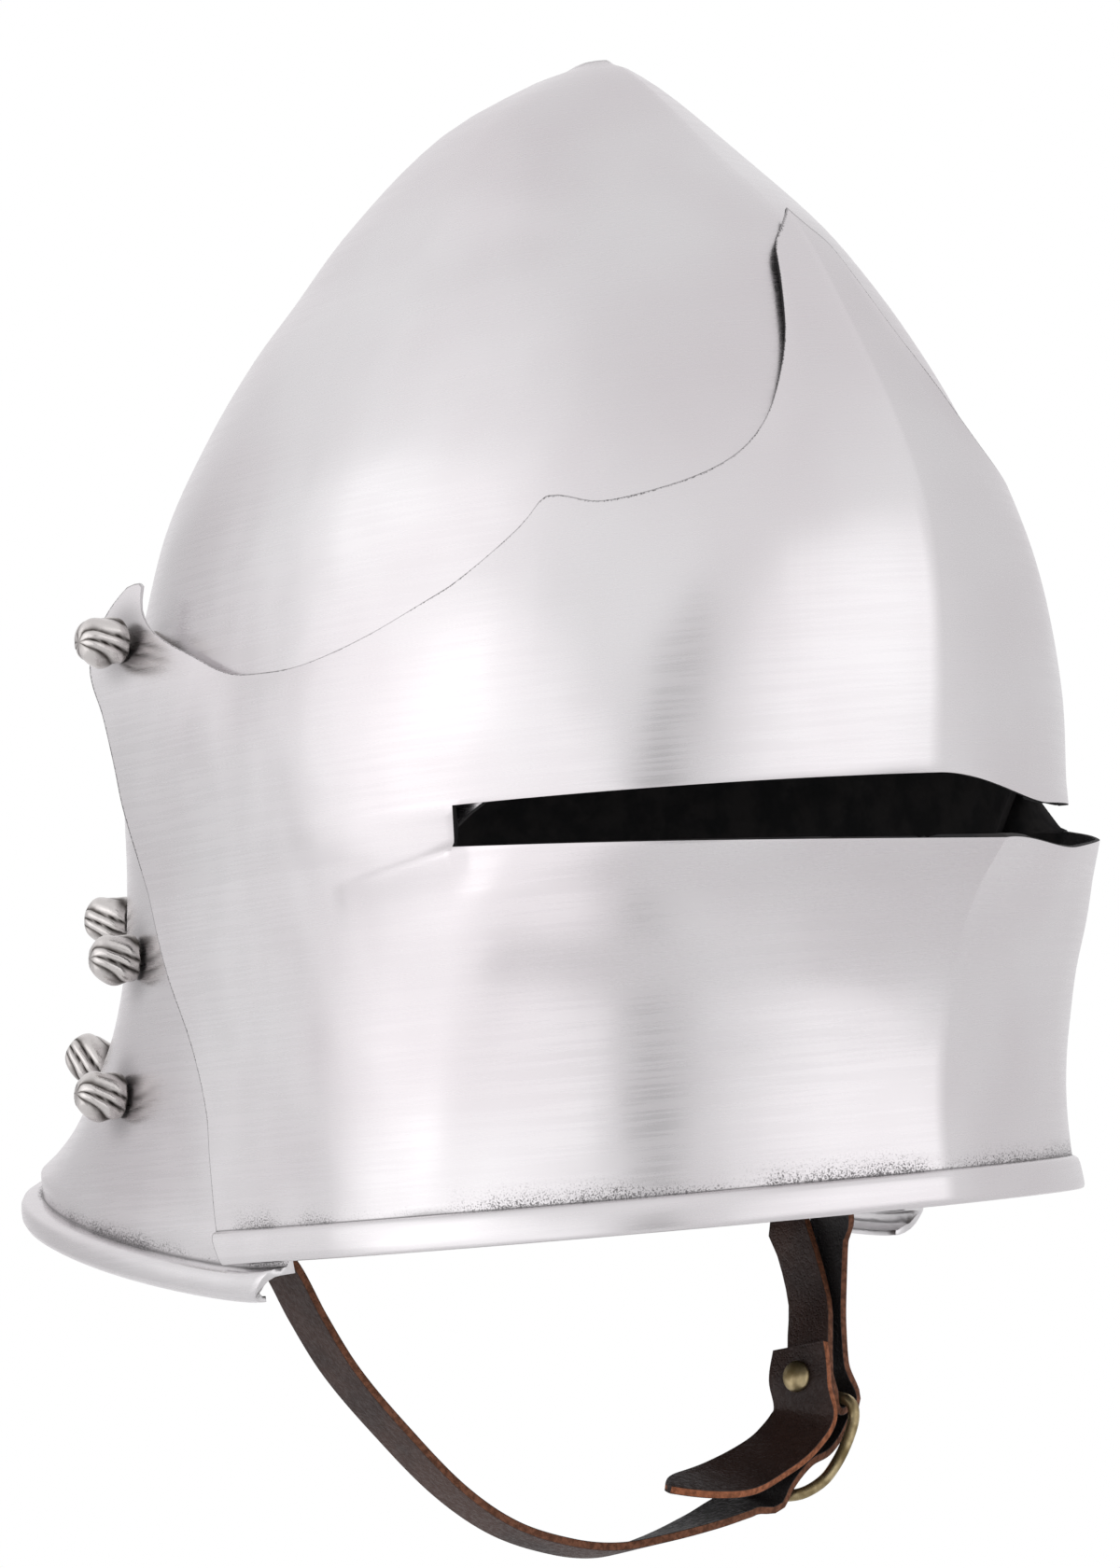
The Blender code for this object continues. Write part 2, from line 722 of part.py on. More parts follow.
def make_bulb(name, place, direction, seat, reach, material):
    profile = bulb_profile(seat, reach, SHANK_HEAD, 0.5 * SHEET)
    twist = math.radians(BULB_TWIST_DEG)
    rings = turned_rings(profile, place, direction, 12, BULB_FLUTES, 0.11, twist)
    return add_object(skin(rings), name, material)


def visor_side(height, y):
    """The visor's outside half width at a height and depth behind its widest place."""
    s = section(VISOR_ROWS, VISOR_COLUMNS, height / HELMET_HEIGHT)
    widest = s["widest"] * REAR_REACH
    share = (y - widest) / (edge_back(height) - widest)
    return s["width"] * HALF_WIDTH - s["toe"] * HALF_WIDTH * share * share


def skull_side(height, y):
    """The skull's outside half width at a height and depth behind the apex."""
    tail = [p for p in skull_curve(height / HELMET_HEIGHT)[0] if p[1] > 0]
    index = next(i for i in range(1, len(tail)) if tail[i][1] >= y)
    a, b = tail[index - 1], tail[index]
    return a[0] + (b[0] - a[0]) * (y - a[1]) / (b[1] - a[1])


def make_bolts(skull, visor, material):
    """The visor's two pivot bolts, through round holes in the ears and the skull."""
    reaches = [-1.0, -0.5, 0.0, 0.5, 1.0]
    ear = visor_side(PIVOT_HEIGHT, PIVOT_Y)
    high = max(visor_side(PIVOT_HEIGHT + a * BULB_RADIUS, PIVOT_Y + b * BULB_RADIUS)
               for a in reaches for b in reaches if math.hypot(a, b) <= 1.0)
    wall = skull_side(PIVOT_HEIGHT, PIVOT_Y)
    low = min(skull_side(PIVOT_HEIGHT + a * SHANK_HEAD, PIVOT_Y + b * SHANK_HEAD)
              for a in reaches for b in reaches if math.hypot(a, b) <= 1.0)
    seat = 0.75 * (high - ear) + FIT_GAP
    reach = ear - low + 1.15 * SHEET + 2.5 * FIT_GAP
    for side, word in ((-1.0, "right"), (1.0, "left")):
        way = Vector((side, 0.0, 0.0))
        place = Vector((side * ear, PIVOT_Y, PIVOT_Z))
        make_bulb("pivot_bolt_" + word, place, way, seat, reach, material)
        middle = Vector((side * wall, PIVOT_Y, PIVOT_Z))
        drill(skull, middle, way, SHANK_RADIUS + FIT_GAP, 6 * SHEET, "pivot_hole_skull_" + word)
        drill(visor, place, way, SHANK_RADIUS + FIT_GAP, 3 * SHEET, "pivot_hole_ear_" + word)


def make_nape_rivets(skull, material):
    """Fluted rivets down each rear flank, square to the skull's surface."""
    number = 0
    for level, around in NAPE_RIVETS:
        for side in (-1.0, 1.0):
            number += 1
            point = skull_point(level, around)
            way = outward(skull_point, level, around)
            point.x *= side
            way.x *= side
            name = "nape_rivet_%d" % number
            make_bulb(name, point, way, RIVET_SEAT, SHEET + 1.7 * RIVET_SEAT, material)
            drill(skull, point, way, SHANK_RADIUS + FIT_GAP, 5 * SHEET, name + "_hole")


def strap_points(rows):
    """Places on a strap, each with its roll."""
    return [Vector((side * STRAP_SPAN, back * STRAP_BACK, RIM_Z - drop * STRAP_DROP, roll))
            for side, back, drop, roll in rows]


def bar_centre():
    return Vector((BAR_SIDE * STRAP_SPAN, BUCKLE_BACK * STRAP_BACK, RIM_Z - BAR_DROP * STRAP_DROP))


def buckle_axes():
    """Along the buckle from its bar to its far end, outward from the chin, and along its bar."""
    lean = math.radians(BUCKLE_LEAN_DEG)
    roll = math.radians(BUCKLE_ROLL_DEG)
    way = Vector((-math.cos(lean), 0.0, -math.sin(lean)))
    flat = Vector((math.sin(lean), 0.0, -math.cos(lean)))
    back = Vector((0.0, 1.0, 0.0))
    out = flat * math.cos(roll) + back * math.sin(roll)
    side = back * math.cos(roll) - flat * math.sin(roll)
    return way, out, side


def beside_bar(run, lift, across=0.0):
    """A point a run along the buckle from its bar, a lift outward and a step along its bar."""
    way, out, side = buckle_axes()
    return bar_centre() + way * run + out * lift + side * across


def on_strap(run, lift, roll=1.0):
    point = beside_bar(run, lift)
    return Vector((*point, roll))


def make_buckle(brass):
    """A curved D shaped frame, and a prong hooked over its bar."""
    half = 0.5 * BUCKLE_WIDTH - BUCKLE_WIRE
    outline = [(0.0, 0.0), (0.0, 0.73), (0.04, 0.92), (0.16, 1.0), (0.40, 1.0), (0.64, 1.0)]
    outline += [(0.78, 0.94), (0.92, 0.72), (0.99, 0.36), (1.0, 0.0)]
    outline += [(run, -across) for run, across in reversed(outline[1:-1])]
    path = []
    for run, across in outline:
        bulge = BUCKLE_BULGE * math.sin(math.pi * run ** 0.8)
        path.append(beside_bar(run * BUCKLE_LENGTH, bulge, across * half))
    frame = skin(tube_rings(path, [BUCKLE_WIRE] * len(path), 8, looped=True), looped=True)
    add_object(frame, "buckle_frame", brass)
    ring = BUCKLE_WIRE + FIT_GAP + PRONG_WIRE
    path = []
    for degrees in range(-70, 91, 32):
        turn = math.radians(degrees)
        path.append(beside_bar(-ring * math.cos(turn), ring * math.sin(turn)))
    for run in (0.25, 0.50, 0.75, 1.0, 1.06):
        path.append(beside_bar(run * BUCKLE_LENGTH, ring))
    radii = [PRONG_WIRE] * (len(path) - 1) + [0.7 * PRONG_WIRE]
    add_object(skin(tube_rings(path, radii, 8)), "buckle_prong", brass)
    return path


def slot_cut(item, path, name):
    """Cuts a slot round a path through a strap."""
    radii = [PRONG_WIRE + 2 * FIT_GAP] * len(path)
    cutter = add_object(skin(tube_rings(path, radii, 8)), name, item.data.materials[0])
    cutter.hide_render = True
    cutter.display_type = "WIRE"
    cut = item.modifiers.new(name, "BOOLEAN")
    cut.operation = "DIFFERENCE"
    cut.solver = "EXACT"
    cut.object = cutter


def long_strap_points():
    """Under the chin, behind the buckle's far end, out through its frame and over its bar."""
    layer = STRAP_THICK + FIT_GAP
    near = BUCKLE_WIRE + FIT_GAP + 0.5 * STRAP_THICK
    far = near + layer
    through = [
        on_strap(1.12 * BUCKLE_LENGTH, -1.14 * near),
        on_strap(0.98 * BUCKLE_LENGTH, -1.14 * near),
        on_strap(0.81 * BUCKLE_LENGTH, -0.80 * near),
        on_strap(0.63 * BUCKLE_LENGTH, -0.05 * near),
        on_strap(0.45 * BUCKLE_LENGTH, 1.40 * near),
        on_strap(0.27 * BUCKLE_LENGTH, 1.98 * near),
        on_strap(0.08 * BUCKLE_LENGTH, 1.05 * far),
        on_strap(-0.10 * BUCKLE_LENGTH, 1.02 * far),
    ]
    return strap_points(LONG_ROWS) + through + strap_points(FREE_ROWS)


def short_strap_points():
    """Down to the buckle and closely round its bar."""
    ring = 1.06 * (BUCKLE_WIRE + FIT_GAP + 0.5 * STRAP_THICK)
    fold = []
    for degrees in range(42, 193, 15):
        turn = math.radians(degrees)
        fold.append(on_strap(ring * math.sin(turn), -ring * math.cos(turn)))
    return smooth_path(strap_points(SHORT_ROWS) + fold[:1], 18) + fold[1:]


def flap_points():
    """Behind the short strap's lower end, then on to the flap's tip."""
    behind = Vector((STRAP_THICK + 2.5 * FIT_GAP, 0.0, 0.0, 0.0))
    top = [point - behind for point in strap_points(SHORT_ROWS)[-2:]]
    return top + strap_points(FLAP_ROWS)


def make_straps(skull, leather, brass):
    """The two straps, the flap, the buckle and the rivets that hold them."""
    half = 0.5 * STRAP_WIDTH
    path = smooth_path(long_strap_points(), 52)
    halves = [half] * (len(path) - 2) + [0.8 * half, 0.35 * half]
    long_strap = add_object(skin(band_rings(path, halves, STRAP_THICK)), "chin_strap_long", leather)
    path = short_strap_points()
    short_bm = skin(band_rings(path, [half] * len(path), STRAP_THICK))
    short_strap = add_object(short_bm, "chin_strap_short", leather)
    steps = 20
    flap_path = smooth_path(flap_points(), steps)
    outline = column(FLAP_OUTLINE_ROWS, FLAP_OUTLINE_COLUMNS, "along", "half")
    widths = [0.5 * FLAP_WIDTH * smooth_value(outline, i / steps) for i in range(steps + 1)]
    flap = add_object(skin(band_rings(flap_path, widths, STRAP_THICK)), "buckle_flap", leather)

    prong = make_buckle(brass)
    slot_cut(long_strap, prong[6:10], "prong_slot_long")
    slot_cut(short_strap, prong[:8], "prong_slot_short")

    flap_z = RIM_Z - FLAP_RIVET_DROP * STRAP_DROP
    index = min(range(steps), key=lambda i: abs(flap_path[i].z - flap_z))
    inward = band_axes(flap_path[index], directions(flap_path)[index])[1]
    inward *= math.copysign(1.0, -inward.x)
    place = flap_path[index].to_3d() + inward * 0.5 * STRAP_THICK
    back = -2 * STRAP_THICK - 4 * FIT_GAP
    head, pin = FLAP_RIVET_HEAD, FLAP_RIVET_PIN
    profile = [
        (back - 0.4 * pin, 1.4 * pin, False),
        (back, 1.4 * pin, False),
        (back, pin, False),
        (FIT_GAP, pin, False),
        (FIT_GAP, head, False),
        (0.25 * head, head, False),
        (0.48 * head, 0.7 * head, False),
        (0.58 * head, 0.25 * head, False),
    ]
    add_object(skin(turned_rings(profile, place, inward)), "flap_rivet", brass)
    for item, word in ((flap, "flap_rivet_hole_flap"), (short_strap, "flap_rivet_hole_strap")):
        drill(item, place, inward, FLAP_RIVET_PIN + FIT_GAP, 8 * STRAP_THICK, word)

    for side, word, strap in ((-1.0, "right", long_strap), (1.0, "left", short_strap)):
        height = STRAP_RIVET_HEIGHT
        wall = skull_side(height, STRAP_BACK)
        points = strap_points(LONG_ROWS if side < 0 else SHORT_ROWS)
        middle = abs(smooth_value(sorted((p.z, p.x) for p in points[:3]), RIM_Z + height))
        inner = middle - 0.5 * STRAP_THICK
        place = Vector((side * wall, STRAP_BACK, RIM_Z + height))
        way = Vector((side, 0.0, 0.0))
        reach = wall - inner + 1.3 * FIT_GAP
        profile = [
            (-reach - 4 * FIT_GAP, 0.5 * STRAP_RIVET_HEAD, False),
            (-reach - 2 * FIT_GAP, STRAP_RIVET_HEAD, False),
            (-reach, STRAP_RIVET_HEAD, False),
            (-reach, STRAP_RIVET_RADIUS, False),
            (-FIT_GAP, STRAP_RIVET_RADIUS, False),
        ]
        add_object(skin(turned_rings(profile, place, way, 8)), "strap_rivet_" + word, brass)
        drill(skull, place, way, STRAP_RIVET_RADIUS + FIT_GAP, 4 * SHEET, "strap_hole_skull_" + word)
        drill(strap, place - way * (wall - inner), way, STRAP_RIVET_RADIUS + FIT_GAP, 4 * STRAP_THICK,
              "strap_hole_" + word)


def main():
    clear_scene()
    steel = make_material("satin_steel", (0.74, 0.73, 0.74), 0.28, 1.0)
    dark_steel = make_material("antiqued_steel", (0.36, 0.34, 0.33), 0.42, 1.0)
    leather = make_material("brown_leather", (0.055, 0.028, 0.020), 0.55, 0.0)
    brass = make_material("aged_brass", (0.47, 0.36, 0.17), 0.38, 1.0)
    skull = make_skull(steel)
    visor = make_visor(steel)
    make_bolts(skull, visor, dark_steel)
    make_nape_rivets(skull, dark_steel)
    make_straps(skull, leather, brass)


main()
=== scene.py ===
# %% [markdown]
# # A sallet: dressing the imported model
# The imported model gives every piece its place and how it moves. The cells below put finer pieces
# over it: a smooth skull and visor, fluted bulbs, leather straps and a brass buckle, and then give
# each of them a surface that looks like what it is made of.

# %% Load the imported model
import math

import bmesh
import bpy
from mathutils import Matrix, Vector


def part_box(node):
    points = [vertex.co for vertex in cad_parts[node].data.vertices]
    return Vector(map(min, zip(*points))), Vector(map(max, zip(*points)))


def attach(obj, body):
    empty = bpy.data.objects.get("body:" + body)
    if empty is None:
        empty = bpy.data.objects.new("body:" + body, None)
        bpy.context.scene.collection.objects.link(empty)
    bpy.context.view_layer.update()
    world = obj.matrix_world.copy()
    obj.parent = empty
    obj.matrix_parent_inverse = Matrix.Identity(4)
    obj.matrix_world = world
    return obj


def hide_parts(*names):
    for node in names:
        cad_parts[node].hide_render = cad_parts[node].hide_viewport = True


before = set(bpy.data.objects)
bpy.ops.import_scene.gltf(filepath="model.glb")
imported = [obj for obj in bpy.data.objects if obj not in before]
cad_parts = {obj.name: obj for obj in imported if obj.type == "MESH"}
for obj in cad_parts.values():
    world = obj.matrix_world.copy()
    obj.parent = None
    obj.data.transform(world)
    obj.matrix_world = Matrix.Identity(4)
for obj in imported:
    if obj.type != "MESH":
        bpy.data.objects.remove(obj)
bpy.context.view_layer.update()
scene = bpy.context.scene

# %% [markdown]
# ## The camera
# The photograph was taken from low in front of the wearer's right cheek, with a long lens from about
# a metre and a half. The camera could be aimed with a Track To constraint, but a fixed place and a
# written-out turn keep it the same on every run.

# %% Camera
CAMERA_PLACE = Vector((-0.9158, -1.1709, -0.2341))
CAMERA_RIGHT = Vector((0.79879, -0.59504, -0.08872))
CAMERA_UP = Vector((0.03388, -0.10275, 0.99413))
camera_data = bpy.data.cameras.new("photo_camera")
camera_data.sensor_fit = "VERTICAL"
camera_data.sensor_height = 36.0
camera_data.lens = 131.79
camera_data.clip_start = 0.01
camera = bpy.data.objects.new("photo_camera", camera_data)
scene.collection.objects.link(camera)
backward = CAMERA_RIGHT.cross(CAMERA_UP).normalized()
turn = Matrix((CAMERA_RIGHT, CAMERA_UP, backward)).transposed()
camera.matrix_world = Matrix.Translation(CAMERA_PLACE) @ turn.to_4x4()
scene.camera = camera
print("camera looks along", [round(v, 3) for v in -backward])

# %% [markdown]
# ## Sizes and sections
# The helmet is made of plates that change shape evenly from level to level, as a hammered plate
# does. A sculpted mesh could give such a form, but rows of plans at named levels, joined by smooth
# curves, keep every size in one place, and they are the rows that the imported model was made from.

# %% Named sizes
HELMET_HEIGHT = 0.304
SEAT_BELOW_APEX = 0.046
HALF_WIDTH = 0.106
FRONT_REACH = 0.114
REAR_REACH = 0.160
TAIL_REACH = 0.064
TAIL_LIFT = 0.032
TAIL_START = 0.052
SHEET = 0.002
RIM_Z = SEAT_BELOW_APEX - HELMET_HEIGHT
print("rim at", round(RIM_Z, 4), "apex at", round(RIM_Z + HELMET_HEIGHT, 4))

# %% [markdown]
# ## Reading a table smoothly
# A form given by a few rows needs values between them. Straight steps would leave flats on the steel,
# so a cubic curve runs through the rows, with its slope at each taken from the rows beside it.

# %% Smooth curves through a table
def smooth_value(points, where):
    """A smooth curve through (place, value) points, flat past its ends."""
    if where <= points[0][0]:
        return points[0][1]
    if where >= points[-1][0]:
        return points[-1][1]
    last = len(points) - 1
    index = max(i for i in range(last) if points[i][0] <= where)

    def slope(i):
        lo, hi = max(i - 1, 0), min(i + 1, last)
        return (points[hi][1] - points[lo][1]) / (points[hi][0] - points[lo][0])

    x0, y0 = points[index]
    x1, y1 = points[index + 1]
    run = x1 - x0
    t = (where - x0) / run
    return ((2 * t**3 - 3 * t**2 + 1) * y0 + (t**3 - 2 * t**2 + t) * run * slope(index)
            + (3 * t**2 - 2 * t**3) * y1 + (t**3 - t**2) * run * slope(index + 1))


def column(rows, names, key, name):
    """One column of a table against another, in rising order."""
    pairs = [(row[names.index(key)], row[names.index(name)]) for row in rows]
    return sorted(pairs)


def section(rows, names, level):
    """Every column of a table at one level."""
    return {name: smooth_value(column(rows, names, "level", name), level) for name in names[1:]}


print("a curve from 0 to 1 passes", smooth_value([(0.0, 0.0), (1.0, 1.0)], 0.5), "halfway")

# %% [markdown]
# ## One level of a plate
# Seen from above, each half of a plate is a curve from the ridge to its widest place. A conic with one
# weight can be keen or full at the ridge, which a circle can't.

# %% Plans of a plate
def front_curve(front, half_width, widest, prow_deg, corner, steps=60):
    """Half a plate's plan, a conic from its ridge to its widest place."""
    knee = -front + half_width * math.tan(math.radians(prow_deg))
    curve = []
    for i in range(steps + 1):
        t = i / steps
        a, b, c = (1 - t) ** 2, 2 * t * (1 - t) * corner, t * t
        total = a + b + c
        curve.append(((b + c) * half_width / total, (-a * front + b * knee + c * widest) / total))
    return curve


def along(curve, share):
    """The point that lies at a share of a curve's length."""
    spans = [math.dist(curve[i], curve[i + 1]) for i in range(len(curve) - 1)]
    left = share * sum(spans)
    for i, span in enumerate(spans):
        if left <= span or i == len(spans) - 1:
            t = min(left / span, 1.0) if span > 0 else 0.0
            return tuple(p + (q - p) * t for p, q in zip(curve[i], curve[i + 1]))
        left -= span
    return curve[-1]


print("a sample plan ends at", along(front_curve(FRONT_REACH, HALF_WIDTH, 0.0, 6.0, 0.84), 1.0))

# %% [markdown]
# ## The skull's shape
# The skull is one plate raised over stakes: a cone at the top, nearly upright sides, and a tail that
# sweeps back and up to a turned edge. Each row below is one level, with shares of the sizes above.

# %% Skull levels
# The skull, one row a section from the apex down to the tail's edge.
# level: share of the helmet's height; front: share of the front reach; width: share of the
# half width; widest: share of the rear reach; back: share of the rear reach; tail: share of
# the tail reach; lift: share of the tail lift; prow: degrees; corner: weight; square: exponent
SKULL_COLUMNS = ("level", "front", "width", "widest", "back", "tail", "lift", "prow", "corner", "square")
SKULL_ROWS = (
    (0.9960, 0.030, 0.035, 0.010, 0.060, 0.00, 0.00, 16.0, 0.70, 2.10),
    (0.9870, 0.088, 0.110, 0.035, 0.190, 0.00, 0.00, 20.0, 0.72, 2.20),
    (0.9590, 0.190, 0.245, 0.062, 0.362, 0.00, 0.00, 22.0, 0.80, 2.40),
    (0.8940, 0.386, 0.392, 0.094, 0.575, 0.00, 0.00, 17.0, 0.84, 2.50),
    (0.8290, 0.588, 0.509, 0.125, 0.706, 0.00, 0.00, 15.0, 0.80, 2.60),
    (0.7890, 0.663, 0.589, 0.138, 0.769, 0.00, 0.00, 12.0, 0.82, 2.70),
    (0.7300, 0.755, 0.691, 0.150, 0.838, 0.00, 0.00, 10.0, 0.84, 2.80),
    (0.6500, 0.865, 0.810, 0.150, 0.906, 0.00, 0.00, 9.0, 0.80, 2.90),
    (0.5690, 0.941, 0.880, 0.150, 0.944, 0.00, 0.00, 8.0, 0.80, 3.00),
    (0.5000, 0.963, 0.925, 0.144, 0.972, 0.00, 0.00, 7.0, 0.84, 3.10),
    (0.4240, 0.946, 0.942, 0.138, 0.992, 0.00, 0.00, 6.0, 0.86, 3.20),
    (0.3420, 0.920, 0.945, 0.138, 1.000, 0.02, 0.00, 5.0, 0.84, 3.20),
    (0.2630, 0.900, 0.950, 0.150, 1.000, 0.09, 0.12, 5.0, 0.84, 3.20),
    (0.1970, 0.880, 0.955, 0.175, 1.000, 0.24, 0.30, 5.0, 0.84, 3.15),
    (0.1380, 0.870, 0.960, 0.212, 1.000, 0.45, 0.50, 5.0, 0.84, 3.10),
    (0.0820, 0.860, 0.966, 0.250, 1.000, 0.68, 0.72, 5.0, 0.84, 3.00),
    (0.0390, 0.850, 0.971, 0.250, 1.000, 0.89, 0.88, 5.0, 0.84, 3.00),
    (0.0130, 0.850, 0.978, 0.250, 1.000, 1.04, 0.96, 5.0, 0.84, 3.00),
)
# The face opening's edge: level as a share of the helmet's height, start as a share of the
# way round from the medial ridge to the back
OPENING_COLUMNS = ("level", "start")
OPENING_ROWS = (
    (0.0000, 0.429),
    (0.0660, 0.430),
    (0.1320, 0.420),
    (0.1970, 0.400),
    (0.2630, 0.375),
    (0.3130, 0.345),
    (0.3520, 0.305),
    (0.3820, 0.245),
    (0.4040, 0.165),
    (0.4150, 0.085),
    (0.4210, 0.000),
)


def opening_start(level):
    return smooth_value(column(OPENING_ROWS, OPENING_COLUMNS, "level", "start"), level)


print(len(SKULL_ROWS), "skull rows, opening from", round(opening_start(0.0), 3))

# %% [markdown]
# ## From a level to a place
# The back of the skull is squarer than an ellipse, so its plan is a superellipse. Points are counted by
# their share of the way round, which keeps the grid even as the plate narrows towards the apex.

# %% Points on the skull
def tail_rise(y):
    """How far the tail's edge has climbed at a distance behind the apex."""
    run = REAR_REACH + TAIL_REACH - TAIL_START
    return TAIL_LIFT * max(0.0, (y - TAIL_START) / run) ** 1.3


def skull_curve(level):
    """Half the skull's plan at a level, from its ridge round to its back."""
    s = section(SKULL_ROWS, SKULL_COLUMNS, level)
    half_width = s["width"] * HALF_WIDTH
    widest = s["widest"] * REAR_REACH
    back = s["back"] * REAR_REACH + s["tail"] * TAIL_REACH
    curve = front_curve(s["front"] * FRONT_REACH, half_width, widest, s["prow"], s["corner"])
    steps = 60
    for i in range(1, steps + 1):
        a = 0.5 * math.pi * i / steps
        x = half_width * max(math.cos(a), 0.0) ** (2 / s["square"])
        y = widest + (back - widest) * math.sin(a) ** (2 / s["square"])
        curve.append((x, y))
    return curve, s["lift"]


def skull_point(level, around, curve=None):
    """A point on the skull's outside, on the wearer's left."""
    plan, lift = curve or skull_curve(level)
    x, y = along(plan, around)
    return Vector((x, y, RIM_Z + level * HELMET_HEIGHT + lift * tail_rise(y)))


def outward(point_of, level, around, sign=1.0):
    """The outward normal of a surface, from its neighbours."""
    step = 0.004
    up = point_of(level + step, around) - point_of(level - step, around)
    side = point_of(level, around + step) - point_of(level, around - step)
    normal = side.cross(up).normalized()
    return Vector((sign * normal.x, normal.y, normal.z))


print("the skull at mid height", [round(v, 4) for v in skull_point(0.5, 0.5)])

# %% [markdown]
# ## Sheets of steel
# A raised plate is a sheet a couple of millimetres thick with a softened edge. Here a grid's points
# are placed along the rows, its meeting edges are merged, a Solidify modifier gives the thickness
# inwards, with a second material inside, and a narrow Bevel takes the sharpness off the edges.

# %% From rows of points to a plate
def place_grid(rows):
    bm = bmesh.new()
    across, down = len(rows[0]), len(rows)
    bmesh.ops.create_grid(bm, x_segments=across - 1, y_segments=down - 1, size=1.0)
    bm.verts.ensure_lookup_table()
    for j, row in enumerate(rows):
        for i, point in enumerate(row):
            bm.verts[j * across + i].co = point
    return bm


def paint(bm, name, rows):
    """Keeps one number at each point of the grid, for a material to read."""
    layer = bm.verts.layers.float.new(name)
    across = len(rows[0])
    bm.verts.ensure_lookup_table()
    for j, row in enumerate(rows):
        for i, value in enumerate(row):
            bm.verts[j * across + i][layer] = value


def add_piece(bm, name, body, nodes, smooth_deg=35.0):
    mesh = bpy.data.meshes.new(name)
    bm.to_mesh(mesh)
    bm.free()
    piece = bpy.data.objects.new(name, mesh)
    scene.collection.objects.link(piece)
    mesh.shade_smooth()
    mesh.set_sharp_from_angle(angle=math.radians(smooth_deg))
    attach(piece, body)
    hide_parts(*nodes)
    print(name, len(mesh.vertices), "points")
    return piece


def face_outward(bm, centre):
    """Turns a single sheet's faces away from a point inside it."""
    if sum(face.normal.dot(face.calc_center_median() - centre) for face in bm.faces) < 0:
        bmesh.ops.reverse_faces(bm, faces=bm.faces)


def thicken(piece, thickness, soften=0.0004):
    solid = piece.modifiers.new("thickness", "SOLIDIFY")
    solid.thickness = thickness
    solid.offset = -1.0
    solid.use_even_offset = True
    solid.thickness_clamp = 0.8
    # The inside and the cut edges take the second material, which paints them near black as shade.
    solid.material_offset = 1
    solid.material_offset_rim = 1
    edge = piece.modifiers.new("softened_edge", "BEVEL")
    edge.width = soften
    edge.segments = 2
    edge.limit_method = "ANGLE"
    edge.angle_limit = math.radians(50)
    edge.harden_normals = False


print("sheets are", SHEET, "m thick")

# %% [markdown]
# ## The skull
# About a hundred levels keep the turned tail edge and the brow crisp, and more would be smoother
# than a hammered plate is. The number kept at each point, crease, says how near it lies to the
# groove above the turned edge, where soot gathers on the real helmet and a painted shadow line
# darkens the groove itself.

# %% The skull plate
TAIL_RIM_DROP = 0.0015
TAIL_RIM_HEIGHT = 0.0085
TAIL_RIM_PROUD = 0.0062
TAIL_RIM_SLANT = 2.4
SKULL_COLUMNS_A_SIDE = 72
TAIL_RIM = (
    (0.00, 0.00),
    (0.30, 0.00),
    (0.62, 0.03),
    (0.86, 0.12),
    (0.98, 0.28),
    (1.00, 0.48),
    (0.98, 0.68),
    (0.86, 0.84),
    (0.62, 0.95),
    (0.35, 1.00),
    (0.15, 1.00),
)


def bell(offset, half):
    return math.exp(-0.5 * (offset / half) ** 2)


def skull_ring(level, push=0.0, drop=0.0):
    """One level's points from the right of the face opening round the back to the left."""
    curve = skull_curve(max(level, 0.0))
    start = opening_start(level) + TAIL_RIM_SLANT * drop
    right = []
    for i in range(SKULL_COLUMNS_A_SIDE + 1):
        around = start + (1.0 - start) * i / SKULL_COLUMNS_A_SIDE
        point = skull_point(level, around, curve)
        if push:
            side = skull_point(level, min(around + 0.01, 1.0), curve)
            side -= skull_point(level, around - 0.01, curve)
            flat = Vector((side.y, -side.x, 0.0)).normalized()
            if i == SKULL_COLUMNS_A_SIDE:
                flat = Vector((0.0, 1.0, 0.0))
            point += flat * push
        point.z -= drop
        right.append(Vector((-point.x, point.y, point.z)))
    left = [Vector((-p.x, p.y, p.z)) for p in reversed(right[:-1])]
    right[-1].x = 0.0
    return right + left


skull_levels = [0.998, 0.994, 0.988, 0.980] + [0.970 - 0.0121 * i for i in range(45)]
skull_levels += [0.4225, 0.4210, 0.4195, 0.4180, 0.4150, 0.4110, 0.4040, 0.3960, 0.3880, 0.3800]
skull_levels += [0.370 - 0.0112 * i for i in range(32)] + [0.013, 0.007, 0.003, 0.0]
apex = Vector((0.0, 0.0, RIM_Z + HELMET_HEIGHT))
skull_rows = [[apex] * (2 * SKULL_COLUMNS_A_SIDE + 1)]
skull_crease = [0.0]
skull_lip = [0.0]
for level in skull_levels:
    skull_rows.append(skull_ring(level))
    skull_crease.append(0.8 * math.exp(-level * HELMET_HEIGHT / 0.0022))
    skull_lip.append(math.exp(-level * HELMET_HEIGHT / 0.003))
for out, down in TAIL_RIM:
    skull_rows.append(skull_ring(0.0, out * TAIL_RIM_PROUD, TAIL_RIM_DROP + down * TAIL_RIM_HEIGHT))
    skull_crease.append(1.0 if out == 0.0 else 0.0)
    skull_lip.append(1.0)
bm = place_grid(skull_rows)
paint(bm, "crease", [[value] * len(skull_rows[0]) for value in skull_crease])
paint(bm, "unshaded_inside", [[value] * len(skull_rows[0]) for value in skull_lip])
bmesh.ops.remove_doubles(bm, verts=bm.verts, dist=0.00001)
face_outward(bm, Vector((0.0, 0.02, RIM_Z + 0.5 * HELMET_HEIGHT)))
skull_plate = add_piece(bm, "skull_plate", "skull", ["skull"])
thicken(skull_plate, SHEET)

# %% [markdown]
# ## The visor's shape
# The visor is a second plate that hugs the skull above the sight and stands forward below it as a
# prow. Its upper outline is cut in lobes that meet in points, and its lower edge is a flat band.

